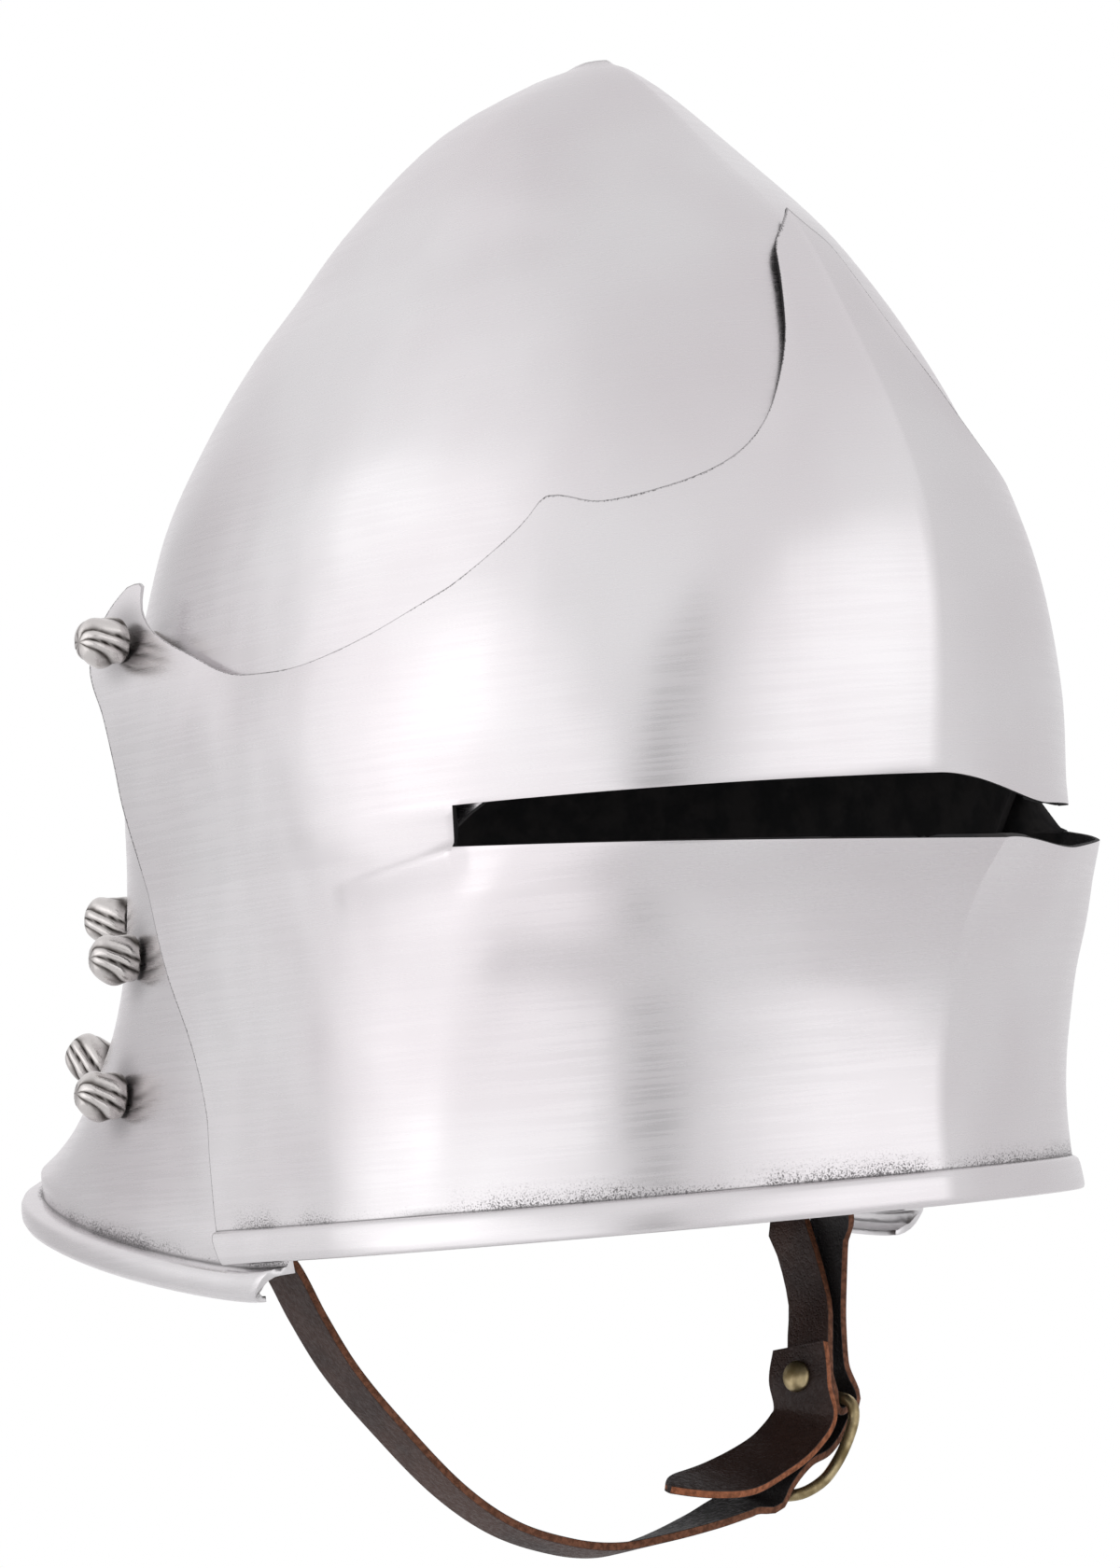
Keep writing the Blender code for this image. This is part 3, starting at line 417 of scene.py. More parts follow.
# %% Visor tables
PROW_STEP = 0.0238
SLOT_LEVEL = 0.0974
SLOT_HEIGHT = 0.0104
SLOT_TOP_DROP = 0.0024
SLOT_DROP = 0.0102
SLOT_END_ABOVE = -0.038
SLOT_END_BELOW = -0.042
LEFT_SAG_ABOVE = 0.0086
LEFT_SAG_BELOW = 0.0058
VISOR_RIM = 0.0085
VISOR_RIM_PROUD = 0.0018
EAR_HEIGHT = 0.180
EAR_REAR = 0.1146
# The visor above the slot. toe: share of the half width lost towards the rear edge
VISOR_COLUMNS = ("level", "front", "width", "widest", "toe", "prow", "corner")
VISOR_ROWS = (
    (0.3450, 0.946, 0.991, 0.100, 0.030, 5.0, 0.84),
    (0.4240, 0.982, 0.991, 0.112, 0.032, 7.0, 0.88),
    (0.5000, 1.000, 0.964, 0.125, 0.016, 9.0, 0.89),
    (0.5690, 0.980, 0.915, 0.138, 0.000, 9.0, 0.81),
    (0.6500, 0.901, 0.845, 0.150, 0.000, 10.0, 0.80),
    (0.7300, 0.789, 0.726, 0.150, 0.000, 11.0, 0.84),
    (0.7890, 0.699, 0.625, 0.138, 0.000, 13.0, 0.81),
    (0.8300, 0.622, 0.546, 0.125, 0.000, 16.0, 0.80),
)

# The visor below the slot, from its rim up to the lip. level: share of the lip's height;
# step: share of the prow step that the ridge stands out
PLATE_COLUMNS = ("level", "front", "step", "width", "widest", "toe", "prow", "corner")
PLATE_ROWS = (
    (0.000, 0.851, 0.000, 1.005, 0.090, 0.000, 7.0, 0.78),
    (0.110, 0.855, 0.000, 0.998, 0.090, 0.000, 7.0, 0.74),
    (0.290, 0.862, 0.000, 0.996, 0.090, 0.000, 8.0, 0.76),
    (0.475, 0.885, 0.025, 0.996, 0.090, 0.005, 10.0, 0.86),
    (0.660, 0.915, 0.125, 0.994, 0.090, 0.012, 15.0, 1.12),
    (0.855, 0.935, 0.500, 0.990, 0.090, 0.018, 23.0, 1.65),
    (1.000, 0.946, 1.000, 0.985, 0.090, 0.024, 28.5, 1.85),
)
# The visor's outline. Around runs 0 at the ridge, 1 at the slot's end, 2 at the rear edge.
TOP_COLUMNS = ("around", "level")
TOP_ROWS = (
    (0.000, 0.8290),
    (0.070, 0.8130),
    (0.139, 0.7940),
    (0.168, 0.7615),
    (0.202, 0.7200),
    (0.252, 0.6790),
    (0.306, 0.6435),
    (0.372, 0.6175),
    (0.461, 0.6005),
    (0.584, 0.5895),
    (0.687, 0.5862),
    (0.806, 0.5955),
    (0.853, 0.5750),
    (0.949, 0.5450),
    (1.039, 0.5240),
    (1.171, 0.5020),
    (1.333, 0.4886),
    (1.470, 0.4890),
    (1.581, 0.4960),
    (1.687, 0.5190),
    (1.805, 0.5440),
    (1.870, 0.5640),
    (1.915, 0.5810),
    (1.945, 0.5895),
    (1.972, 0.5920),
    (2.000, 0.5905),
)
# The rear edge: level as a share of the ear's height, back as a share of the ear's reach
EDGE_COLUMNS = ("level", "back")
EDGE_ROWS = (
    (0.000, 0.545),
    (0.044, 0.582),
    (0.150, 0.590),
    (0.222, 0.592),
    (0.314, 0.638),
    (0.422, 0.728),
    (0.570, 0.816),
    (0.670, 0.876),
    (0.742, 0.905),
    (0.814, 0.942),
    (0.861, 0.985),
    (0.889, 1.000),
    (0.925, 0.988),
    (0.955, 0.958),
    (0.980, 0.915),
    (1.000, 0.862),
)
print(len(VISOR_ROWS), "rows above the sight,", len(PLATE_ROWS), "below it")

# %% [markdown]
# ## Places on the visor
# The sight divides the visor in an upper and a lower plate that meet behind it. Each has its own
# sections, and both count the way round as 1 at the sight's end, so their columns meet there.

# %% Points on the visor
def lip_level(around):
    """The lip's height: lowest at the ridge, level behind the slot's end."""
    return SLOT_LEVEL - SLOT_DROP * max(0.0, 1.0 - around)


SAG_FULL = 0.42
SAG_END = 1.45
SAG_FADE = 0.75


def left_sag(around, most):
    """How far the sight hangs lower on the wearer's left than on the right."""
    rise = min(1.0, max(0.0, around / SAG_FULL))
    fall = min(1.0, max(0.0, (SAG_END - around) / SAG_FADE))
    return most * rise * rise * (3.0 - 2.0 * rise) * fall * fall * (3.0 - 2.0 * fall)


def edge_back(height):
    points = column(EDGE_ROWS, EDGE_COLUMNS, "level", "back")
    return EAR_REAR * smooth_value(points, height / EAR_HEIGHT)


def split_curve(front, half_width, widest, toe, prow, corner, around, height, slot_end):
    """A visor section: ridge to slot end, then slot end to the rear edge."""
    curve = front_curve(front, half_width, widest, prow, corner)
    rear = edge_back(height)
    steps = 10
    for i in range(1, steps + 1):
        s = i / steps
        curve.append((half_width - toe * s * s, widest + (rear - widest) * s))
    cut = next(i for i, p in enumerate(curve) if p[1] > slot_end)
    low, high = curve[cut - 1], curve[cut]
    t = (slot_end - low[1]) / (high[1] - low[1])
    meet = (low[0] + (high[0] - low[0]) * t, slot_end)
    if around <= 1.0:
        return along(curve[:cut] + [meet], around)
    return along([meet] + curve[cut:], around - 1.0)


def upper_point(height, around):
    """A point on the visor's outside above the slot, on the wearer's left."""
    s = section(VISOR_ROWS, VISOR_COLUMNS, height / HELMET_HEIGHT)
    x, y = split_curve(s["front"] * FRONT_REACH, s["width"] * HALF_WIDTH, s["widest"] * REAR_REACH,
                       s["toe"] * HALF_WIDTH, s["prow"], s["corner"], around, height, SLOT_END_ABOVE)
    return Vector((x, y, RIM_Z + height))


def lower_point(share, around, push=0.0, sag=0.0):
    """A point on the visor's outside below the slot; share runs from rim to lip."""
    s = section(PLATE_ROWS, PLATE_COLUMNS, share)
    height = share * (lip_level(around) - sag)
    front = s["front"] * FRONT_REACH + s["step"] * PROW_STEP + push
    x, y = split_curve(front, s["width"] * HALF_WIDTH + push, s["widest"] * REAR_REACH,
                       s["toe"] * HALF_WIDTH, s["prow"], s["corner"], around, height, SLOT_END_BELOW)
    return Vector((x, y, RIM_Z + height))


def top_height(around):
    points = column(TOP_ROWS, TOP_COLUMNS, "around", "level")
    return HELMET_HEIGHT * smooth_value(points, around)


print("the lip at the ridge", [round(v, 4) for v in lower_point(1.0, 0.0)])

# %% [markdown]
# ## Small hammered forms on the visor
# A raised rib runs back from each end of the sight, a soft fold comes down from it, and the plate
# keeps a few shallow dents from its making. They could be bump in the material, but they change the
# reflections over several centimetres, so the points themselves are moved, by smooth bells.

# %% Ribs, folds and dents
RIB_HEIGHT = 0.0016
RIB_ABOVE = 0.0009
RIB_BELOW = 0.0050
RIB_FRONT = 0.98
RIB_END = 1.34
RIB_FALL = 0.0062
FOLD_HEIGHT = 0.0010
FOLD_HALF = 0.0075
FOLD_FADE_BELOW = 0.02
FOLD_FADE_ABOVE = 0.012
RIB_UNDER_LIP = 0.0006
# Metres of plate for one unit of the way around
AROUND_RUN = 0.12
# Fold line. level: share of the lip's height; around: as for the outline
FOLD_ROWS = (
    (0.00, 1.25),
    (0.20, 1.20),
    (0.60, 1.06),
    (0.90, 0.92),
    (1.00, 0.86),
)
# Dents above the sight. around, height above the rim, half width, half height, depth (metres)
DENTS = (
    (0.62, 0.146, 0.012, 0.016, 0.0011),
    (0.36, 0.166, 0.012, 0.012, -0.0008),
    (0.88, 0.150, 0.016, 0.016, -0.0005),
)


def hammered(height, around):
    """How far the plate stands out at a height and place, in metres."""
    out = 0.0
    if RIB_FRONT < around < RIB_END:
        share = (around - RIB_FRONT) / (RIB_END - RIB_FRONT)
        offset = height - (SLOT_LEVEL - RIB_UNDER_LIP - RIB_FALL * share)
        out += RIB_HEIGHT * (1.0 - share) ** 0.8 * bell(offset, RIB_ABOVE if offset > 0 else RIB_BELOW)
    line = smooth_value(FOLD_ROWS, height / SLOT_LEVEL)
    if height < SLOT_LEVEL:
        low = min(1.0, height / FOLD_FADE_BELOW) * min(1.0, (SLOT_LEVEL - height) / FOLD_FADE_ABOVE)
        out += FOLD_HEIGHT * low * bell((around - line) * AROUND_RUN, FOLD_HALF)
    for place, level, half_width, half_height, depth in DENTS:
        beside = bell((around - place) * AROUND_RUN, half_width)
        out -= depth * beside * bell(height - level, half_height)
    return out


def push_out(point_of, where, around, amount):
    """A surface point moved along the plate's own level normal."""
    point = point_of(where, around)
    if abs(amount) < 1e-6:
        return point
    ahead = point_of(where, max(around - 0.01, 0.0))
    behind = point_of(where, min(around + 0.01, 2.0))
    side = behind - ahead
    flat = Vector((side.y, -side.x, 0.0)).normalized()
    return point + flat * amount


print("the rib stands out by", round(hammered(SLOT_LEVEL - 0.002, 1.05), 5))

# %% [markdown]
# ## The visor plate
# A sheet with a long slot could be cut with a boolean, which leaves ragged faces along the edge. Here
# the rows run from the lower band to the outline, and the faces that lie in the slot are deleted.

# %% The visor plate
EDGE_LIFT = 0.0010
EDGE_LIFT_PLACE = 0.27
EDGE_LIFT_HALF = 0.10
EAR_LIFT = -0.0012
EAR_LIFT_PLACE = 1.64
EAR_LIFT_HALF = 0.20
EDGE_LIFT_FROM = 0.80
EAR_LIFT_FROM = 0.50
# Height of the first row above the band, as a share of the band's height
ABOVE_BAND = 1.06
# Soot above the band, and the painted shadow line along the visor's cut edges
BAND_SOOT = 0.85
BAND_SOOT_REACH = 0.0034
EDGE_SHADE = 0.93
EDGE_SHADE_SHARE = 0.992
EDGE_SHADE_AROUND = 1.996
# Where the inside starts to stay bare steel, without the painted shade, behind the sight
BRIGHT_FROM = 1.15
BRIGHT_RUN = 0.25
RIM_BAND = (
    (0.00, 0.00),
    (0.40, 0.00),
    (0.75, 0.03),
    (0.94, 0.12),
    (1.00, 0.28),
    (1.00, 0.55),
    (0.96, 0.78),
    (0.80, 0.92),
    (0.45, 0.99),
    (0.00, 1.03),
)
stations = {round(0.02 * i, 3) for i in range(101)} | {round(0.13 + 0.005 * i, 3) for i in range(36)}
stations = sorted(stations | {0.139, 0.154, 0.806, 1.994, 1.9975})
arounds = [-a for a in reversed(stations[1:])] + stations
visor_rows = []
visor_crease = []
visor_bright = []


def both_sides(point_at):
    """A row of points over both halves, from a function for the left half."""
    row = []
    for around in arounds:
        point = point_at(abs(around), around)
        row.append(Vector((-point.x, point.y, point.z)) if around < 0 else point)
    return row


for out, up in RIM_BAND:
    def band_point(around, side):
        sag = left_sag(side, LEFT_SAG_BELOW)
        share = up * VISOR_RIM / (lip_level(around) - sag)
        return lower_point(share, around, out * VISOR_RIM_PROUD, sag)
    visor_rows.append(both_sides(band_point))
    visor_crease.append(1.0 if up > 1.0 else 0.0)
    visor_bright.append(1.0)
rise = VISOR_RIM / SLOT_LEVEL * ABOVE_BAND
lower_shares = [rise + 0.008, rise + 0.02]
lower_shares += [rise + 0.035 + (0.965 - rise) * i / 26 for i in range(26)]
lower_shares = [share for share in lower_shares if share < 0.88]
lower_shares += [0.880 + 0.010 * i for i in range(13)]
for share in lower_shares:
    def plate_point(around, side):
        sag = left_sag(side, LEFT_SAG_BELOW)
        def sagging_point(where, place):
            return lower_point(where, place, 0.0, sag)
        lip = lip_level(around) - sag
        low = ABOVE_BAND * VISOR_RIM / lip
        part = low + (share - rise) / (1.0 - rise) * (1.0 - low)
        return push_out(sagging_point, part, around, hammered(part * lip, around))
    visor_rows.append(both_sides(plate_point))
    above = max(0.0, share * SLOT_LEVEL - VISOR_RIM)
    visor_crease.append(BAND_SOOT * math.exp(-above / BAND_SOOT_REACH))
    visor_bright.append(max(0.0, 1.0 - (share - rise) / 0.06))
lip_row = len(visor_rows) - 1


def slot_top(around):
    """The height of the sight's upper edge on the wearer's right."""
    return SLOT_LEVEL + SLOT_HEIGHT - SLOT_TOP_DROP * max(0.0, 1.0 - around)


def near_edge(share, start):
    """0 up to a share of the way to the outline, then rising to 1 at it."""
    return max(0.0, (share - start) / (1.0 - start)) ** 2


for share in (0.1, 0.2, 0.35, 0.5, 0.75):
    def bridge_point(around, side):
        low = lower_point(1.0, around, 0.0, left_sag(side, LEFT_SAG_BELOW))
        high = upper_point(slot_top(around) - left_sag(side, LEFT_SAG_ABOVE), around)
        point = low.lerp(high, share)
        level = SLOT_LEVEL + share * SLOT_HEIGHT
        flat = push_out(upper_point, level, around, hammered(level, around)) - upper_point(level, around)
        return point + flat
    visor_rows.append(both_sides(bridge_point))
    visor_crease.append(0.0)
    visor_bright.append(0.0)
upper_row = len(visor_rows)
for share in [i / 40 for i in range(40)] + [0.990, 0.996, 1.0]:
    def crown_point(around, side):
        start = slot_top(around) - left_sag(side, LEFT_SAG_ABOVE)
        height = start + share * (top_height(around) - start)
        lift = EDGE_LIFT * bell(around - EDGE_LIFT_PLACE, EDGE_LIFT_HALF)
        lift *= near_edge(share, EDGE_LIFT_FROM)
        ear_lift = EAR_LIFT * bell(around - EAR_LIFT_PLACE, EAR_LIFT_HALF)
        lift += ear_lift * near_edge(share, EAR_LIFT_FROM)
        return push_out(upper_point, height, around, hammered(height, around) + lift)
    visor_rows.append(both_sides(crown_point))
    visor_crease.append(EDGE_SHADE if share > EDGE_SHADE_SHARE else 0.0)
    visor_bright.append(max(0.0, (share - 0.60) / 0.40))
bm = place_grid(visor_rows)
rear_shade = [EDGE_SHADE if abs(around) > EDGE_SHADE_AROUND else 0.0 for around in arounds]
paint(bm, "crease", [[max(value, line) for line in rear_shade] for value in visor_crease])
behind_slot = [min(1.0, max(0.0, (abs(around) - BRIGHT_FROM) / BRIGHT_RUN)) for around in arounds]
band_rows = len(RIM_BAND)
paint(bm, "unshaded_inside", [[value * (1.0 if j < band_rows else place) for place in behind_slot]
                          for j, value in enumerate(visor_bright)])
bm.faces.ensure_lookup_table()
span = len(arounds) - 1
sight = [bm.faces[j * span + i] for j in range(lip_row, upper_row) for i in range(span)
         if abs(arounds[i]) <= 1.0 and abs(arounds[i + 1]) <= 1.0]
bmesh.ops.delete(bm, geom=sight, context="FACES")
bmesh.ops.remove_doubles(bm, verts=bm.verts, dist=0.00001)
face_outward(bm, Vector((0.0, 0.0, RIM_Z + 0.5 * HELMET_HEIGHT)))
visor_plate = add_piece(bm, "visor_plate", "visor", ["visor"])
thicken(visor_plate, SHEET)

# %% [markdown]
# ## Fluted bulbs
# The visor turns on two bolts and the nape carries eight rivets, all with a bulb cut by deep twisting
# flutes, like the bud of a flower. A bulb could be carved with booleans; placing the points of a
# wrapped grid on a turned outline, with a wave round it that twists on the way up, is lighter.

# %% Turned pieces
def wrap_grid(rings):
    """A grid wrapped through rings of points, each ring back to its first point."""
    return place_grid([ring + [ring[0]] for ring in rings])


def close_body(bm):
    """Merges a wrapped grid's seam, fills its ends and turns its faces outward."""
    bmesh.ops.remove_doubles(bm, verts=bm.verts, dist=0.000005)
    rims = [edge for edge in bm.edges if edge.is_boundary]
    if rims:
        bmesh.ops.holes_fill(bm, edges=rims, sides=0)
    bmesh.ops.recalc_face_normals(bm, faces=bm.faces)


BULB_RADIUS = 0.0066
BULB_LENGTH = 0.0126
BODY_LENGTH = 0.0142
BULB_FLUTES = 7
BULB_TWIST_DEG = 62.0
FLUTE_DEPTH = 0.21
SHANK_RADIUS = 0.0025
SHANK_HEAD = 0.0045
BULB_SHAPE = (
    (0.00, 0.84),
    (0.06, 0.93),
    (0.15, 0.99),
    (0.30, 1.03),
    (0.45, 1.03),
    (0.60, 0.98),
    (0.72, 0.90),
    (0.82, 0.78),
    (0.90, 0.63),
    (0.95, 0.48),
    (0.98, 0.31),
    (1.00, 0.01),
)


def make_bulb(name, node, place, way, reach):
    """A bulb whose foot is at a place, with its shank and inner head behind it."""
    turn = way.to_track_quat("Z", "Y").to_matrix()
    sides = 84
    rings, grooves = [], []
    shank = [(-reach - 0.5 * SHEET, SHANK_HEAD), (-reach, SHANK_HEAD), (-reach, SHANK_RADIUS),
             (0.0, SHANK_RADIUS)]
    outline = [(height, radius, 0.0) for height, radius in shank]
    for i in range(31):
        share = i / 30
        size = smooth_value(BULB_SHAPE, share)
        depth = FLUTE_DEPTH * min(1.0, share / 0.10) * min(1.0, (1.0 - share) / 0.12)
        outline.append((share * BULB_LENGTH, size * BULB_RADIUS, depth))
    for height, radius, depth in outline:
        twist = math.radians(BULB_TWIST_DEG) * max(height, 0.0) / BULB_LENGTH
        ring, groove = [], []
        for i in range(sides):
            angle = 2 * math.pi * i / sides
            uneven = 0.75 * math.sin(2.0 * angle + 1.3)
            uneven += 0.50 * math.sin(3.0 * angle + 4.0 * height / BULB_LENGTH)
            wave = abs(math.sin(0.5 * BULB_FLUTES * angle + uneven)) ** 0.72
            lump = 0.045 * math.sin(angle + 9.0 * height / BULB_LENGTH)
            size = radius * (1.0 - depth * (1.0 - wave) + (0.03 + lump) * (depth > 0))
            ring.append(place + turn @ Vector((size * math.cos(angle + twist),
                                               size * math.sin(angle + twist), height)))
            groove.append((1.0 - wave) * (depth > 0) + 0.55 * (depth == 0))
        rings.append(ring)
        grooves.append(groove)
    bulb_feet.append(place)
    bm = wrap_grid(rings)
    paint(bm, "groove", [groove + [groove[0]] for groove in grooves])
    close_body(bm)
    return add_piece(bm, name, "skull", [node], 50.0)


print(len(BULB_SHAPE), "rows shape a bulb of length", BULB_LENGTH)

# %% [markdown]
# ## Where the bulbs sit
# A bolt goes through each ear of the visor, and the rivets stand square to the skull's flank. Their
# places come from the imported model's boxes and from the skull's own surface, so none can float.

# %% Pivot bolts and nape rivets
# Nape rivets. level: share of the helmet's height; around: share of the way to the back
NAPE_RIVETS = (
    (0.2660, 0.698),
    (0.1340, 0.675),
    (0.3060, 0.795),
    (0.1480, 0.820),
)
PIVOT_Y = 0.098
PIVOT_HEIGHT = 0.165
BULB_SEAT = 0.0006
NAPE_REACH = SHEET + 2.7 * BULB_SEAT
bulbs = []
bulb_feet = []
for side, word in ((-1.0, "right"), (1.0, "left")):
    low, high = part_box("pivot_bolt_" + word)
    foot = max(abs(low.x), abs(high.x)) - BODY_LENGTH
    place = Vector((side * foot, PIVOT_Y, RIM_Z + PIVOT_HEIGHT))
    reach = foot - min(abs(low.x), abs(high.x)) - 0.5 * SHEET
    way = Vector((side, 0.0, 0.0))
    bulbs.append(make_bulb("pivot_bulb_" + word, "pivot_bolt_" + word, place, way, reach))
number = 0
for level, around in NAPE_RIVETS:
    for side in (-1.0, 1.0):
        number += 1
        point = skull_point(level, around)
        way = outward(skull_point, level, around)
        point.x *= side
        way.x *= side
        name = "nape_bulb_%d" % number
        foot = point + way * BULB_SEAT
        bulbs.append(make_bulb(name, "nape_rivet_%d" % number, foot, way, NAPE_REACH))

# %% [markdown]
# ## Leather straps
# The chin strap is thick hide cut in bands. The face of a band is smooth and dark, its back is nearly
# black, and the cut edge shows the paler tan inside. A band follows a smooth path through a few
# places, twisting a little where the buckle pulls it, and its section is a rectangle with soft corners.

# %% Strap paths
STRAP_WIDTH = 0.015
STRAP_THICK = 0.0024
STRAP_DROP = 0.087
STRAP_SPAN = 0.0982
STRAP_BACK = 0.064
FIT_GAP = 0.0004
BUCKLE_LENGTH = 0.0320
BUCKLE_WIDTH = 0.026
BUCKLE_BULGE = 0.0045
BUCKLE_WIRE = 0.0016
BUCKLE_LEAN_DEG = 51.0
BUCKLE_ROLL_DEG = 20.0
PRONG_WIRE = 0.0011
BAR_SIDE = 0.770
BAR_DROP = 0.586
BUCKLE_BACK = 0.800
# The chin strap's pieces, as seen from the front. side: share of the strap's span; back: share
# of the strap's back; drop: share of the strap's drop; roll: share of the buckle's roll
# Right hand strap: rivet, rim and under the chin to the buckle
LONG_ROWS = (
    (-1.000, 1.000, -0.360, 0.0),
    (-1.000, 1.000, -0.200, 0.0),
    (-0.955, 0.995, -0.060, 0.0),
    (-0.902, 0.977, 0.046, 0.0),
    (-0.843, 0.977, 0.179, 0.0),
    (-0.755, 0.969, 0.349, 0.0),
    (-0.623, 0.953, 0.536, -0.1),
    (-0.455, 0.938, 0.738, -0.3),
    (-0.296, 0.922, 0.869, -0.6),
    (-0.118, 0.906, 0.948, -0.8),
    (0.030, 0.891, 0.978, -0.8),
    (0.169, 0.859, 0.964, -0.4),
    (0.325, 0.828, 0.928, 0.3),
    (0.450, 0.806, 0.890, 0.9),
)
# The same strap from the buckle up to its free end
FREE_ROWS = (
    (0.821, 0.843, 0.500, 0.4),
    (0.845, 0.875, 0.380, 0.1),
    (0.880, 0.895, 0.204, 0.0),
    (0.896, 0.893, 0.100, 0.0),
    (0.896, 0.865, 0.050, 0.0),
    (0.888, 0.822, 0.000, 0.0),
    (0.880, 0.790, -0.080, 0.0),
)
# Left hand strap, from its rivet down to the buckle's bar
SHORT_ROWS = (
    (1.000, 1.000, -0.360, 0.0),
    (1.000, 1.030, -0.200, 0.0),
    (0.950, 1.100, -0.070, 0.0),
    (0.862, 1.094, 0.037, 0.0),
    (0.853, 1.050, 0.100, 0.0),
    (0.843, 0.990, 0.195, 0.0),
    (0.822, 0.925, 0.300, 0.0),
    (0.755, 0.820, 0.430, 0.3),
    (0.733, 0.802, 0.535, 0.85),
)
# Leather flap below the buckle's bar, down to its pointed tip
FLAP_ROWS = (
    (0.702, 0.797, 0.640, 0.9),
    (0.632, 0.789, 0.713, 1.1),
    (0.544, 0.781, 0.760, 1.4),
    (0.396, 0.781, 0.808, 1.5),
    (0.196, 0.781, 0.810, 1.4),
)

def strap_points(rows):
    """Places on a strap, each with its roll."""
    return [Vector((side * STRAP_SPAN, back * STRAP_BACK, RIM_Z - drop * STRAP_DROP, roll))
            for side, back, drop, roll in rows]


def bar_centre():
    return Vector((BAR_SIDE * STRAP_SPAN, BUCKLE_BACK * STRAP_BACK, RIM_Z - BAR_DROP * STRAP_DROP))


def buckle_axes():
    """Along the buckle from its bar to its far end, outward from the chin, and along its bar."""
    lean = math.radians(BUCKLE_LEAN_DEG)
    roll = math.radians(BUCKLE_ROLL_DEG)
    way = Vector((-math.cos(lean), 0.0, -math.sin(lean)))
    flat = Vector((math.sin(lean), 0.0, -math.cos(lean)))
    back = Vector((0.0, 1.0, 0.0))
    out = flat * math.cos(roll) + back * math.sin(roll)
    side = back * math.cos(roll) - flat * math.sin(roll)
    return way, out, side


def beside_bar(run, lift, across=0.0):
    """A point a run along the buckle from its bar, a lift outward and a step along its bar."""
    way, out, side = buckle_axes()
    return bar_centre() + way * run + out * lift + side * across


def on_strap(run, lift, roll=1.0):
    point = beside_bar(run, lift)
    return Vector((*point, roll))


print("the buckle's bar lies at", [round(v, 4) for v in bar_centre()])

# %% [markdown]
# ## A band along a path
# A band could be a curve with a bevel, but that keeps no record of face, back and cut edge. Rings of
# sixteen corners along the path do, as numbers kept at the points for the leather to read.

# %% Bands
def smooth_path(points, steps):
    """Even points on a smooth curve through a few points, each with its roll."""
    marks = [0.0]
    for a, b in zip(points, points[1:]):
        marks.append(marks[-1] + (b - a).to_3d().length)
    total = marks[-1]
    axes = [[(mark, point[axis]) for mark, point in zip(marks, points)] for axis in range(4)]
    places = [total * i / steps for i in range(steps + 1)]
    return [Vector([smooth_value(axis, place) for axis in axes]) for place in places]


def directions(path, looped=False):
    last = len(path) - 1
    result = []
    for i in range(last + 1):
        if looped:
            result.append((path[(i + 1) % (last + 1)] - path[i - 1]).to_3d().normalized())
        else:
            result.append((path[min(i + 1, last)] - path[max(i - 1, 0)]).to_3d().normalized())
    return result


def band_axes(point, way):
    """Across a band, and out of its face."""
    side = Vector((0.0, 1.0, 0.0)).lerp(buckle_axes()[2], point[3])
    across = (side - way * way.dot(side)).normalized()
    return across, across.cross(way).normalized()


# How far a band's face stops short of its cut edge, as a share of the half width
CORNER_INSET = 0.0132


def band_section():
    """Corners of a band's section, as shares of its half width and half thickness."""
    side = 1.0 - CORNER_INSET
    places = [(-side, -1.0), (-0.5, -1.0), (0.0, -1.0), (0.5, -1.0), (side, -1.0)]
    places += [(1.0, -0.7), (1.0, 0.0), (1.0, 0.7)]
    places += [(side, 1.0), (0.5, 1.0), (0.0, 1.0), (-0.5, 1.0), (-side, 1.0)]
    places += [(-1.0, 0.7), (-1.0, 0.0), (-1.0, -0.7)]
    return places


def make_band(name, node, path, half_widths):
    rings, cuts, backs = [], [], []
    for point, way, half in zip(path, directions(path), half_widths):
        across, out = band_axes(point, way)
        centre = point.to_3d()
        ring, cut, back = [], [], []
        for a, b in band_section():
            crown = 1.0 + 0.10 * (1.0 - a * a)
            ring.append(centre + across * a * half + out * (0.5 * STRAP_THICK * b * crown / 1.1))
            cut.append(1.0 if abs(a) == 1.0 else 0.0)
            back.append(1.0 if b < 0 else 0.0)
        rings.append(ring)
        cuts.append(cut + [cut[0]])
        backs.append(back + [back[0]])
    bm = wrap_grid(rings)
    paint(bm, "cut_edge", cuts)
    paint(bm, "flesh_side", backs)
    close_body(bm)
    return add_piece(bm, name, "skull", [node], 60.0)


print(len(band_section()), "corners in a band's section")

# %% [markdown]
# ## Threading the straps
# The long strap goes behind the buckle's far end, out through its frame and over its bar. The short
# strap folds round the bar, and the flap lies behind it, held by a rivet.

# %% The straps and the flap
def long_strap_points():
    """Under the chin, behind the buckle's far end, out through its frame and over its bar."""
    layer = STRAP_THICK + FIT_GAP
    near = BUCKLE_WIRE + FIT_GAP + 0.5 * STRAP_THICK
    far = near + layer
    through = [
        on_strap(1.12 * BUCKLE_LENGTH, -1.14 * near),
        on_strap(0.98 * BUCKLE_LENGTH, -1.14 * near),
        on_strap(0.81 * BUCKLE_LENGTH, -0.80 * near),
        on_strap(0.63 * BUCKLE_LENGTH, -0.05 * near),
        on_strap(0.45 * BUCKLE_LENGTH, 1.40 * near),
        on_strap(0.27 * BUCKLE_LENGTH, 1.98 * near),
        on_strap(0.08 * BUCKLE_LENGTH, 1.05 * far),
        on_strap(-0.10 * BUCKLE_LENGTH, 1.02 * far),
    ]
    return strap_points(LONG_ROWS) + through + strap_points(FREE_ROWS)


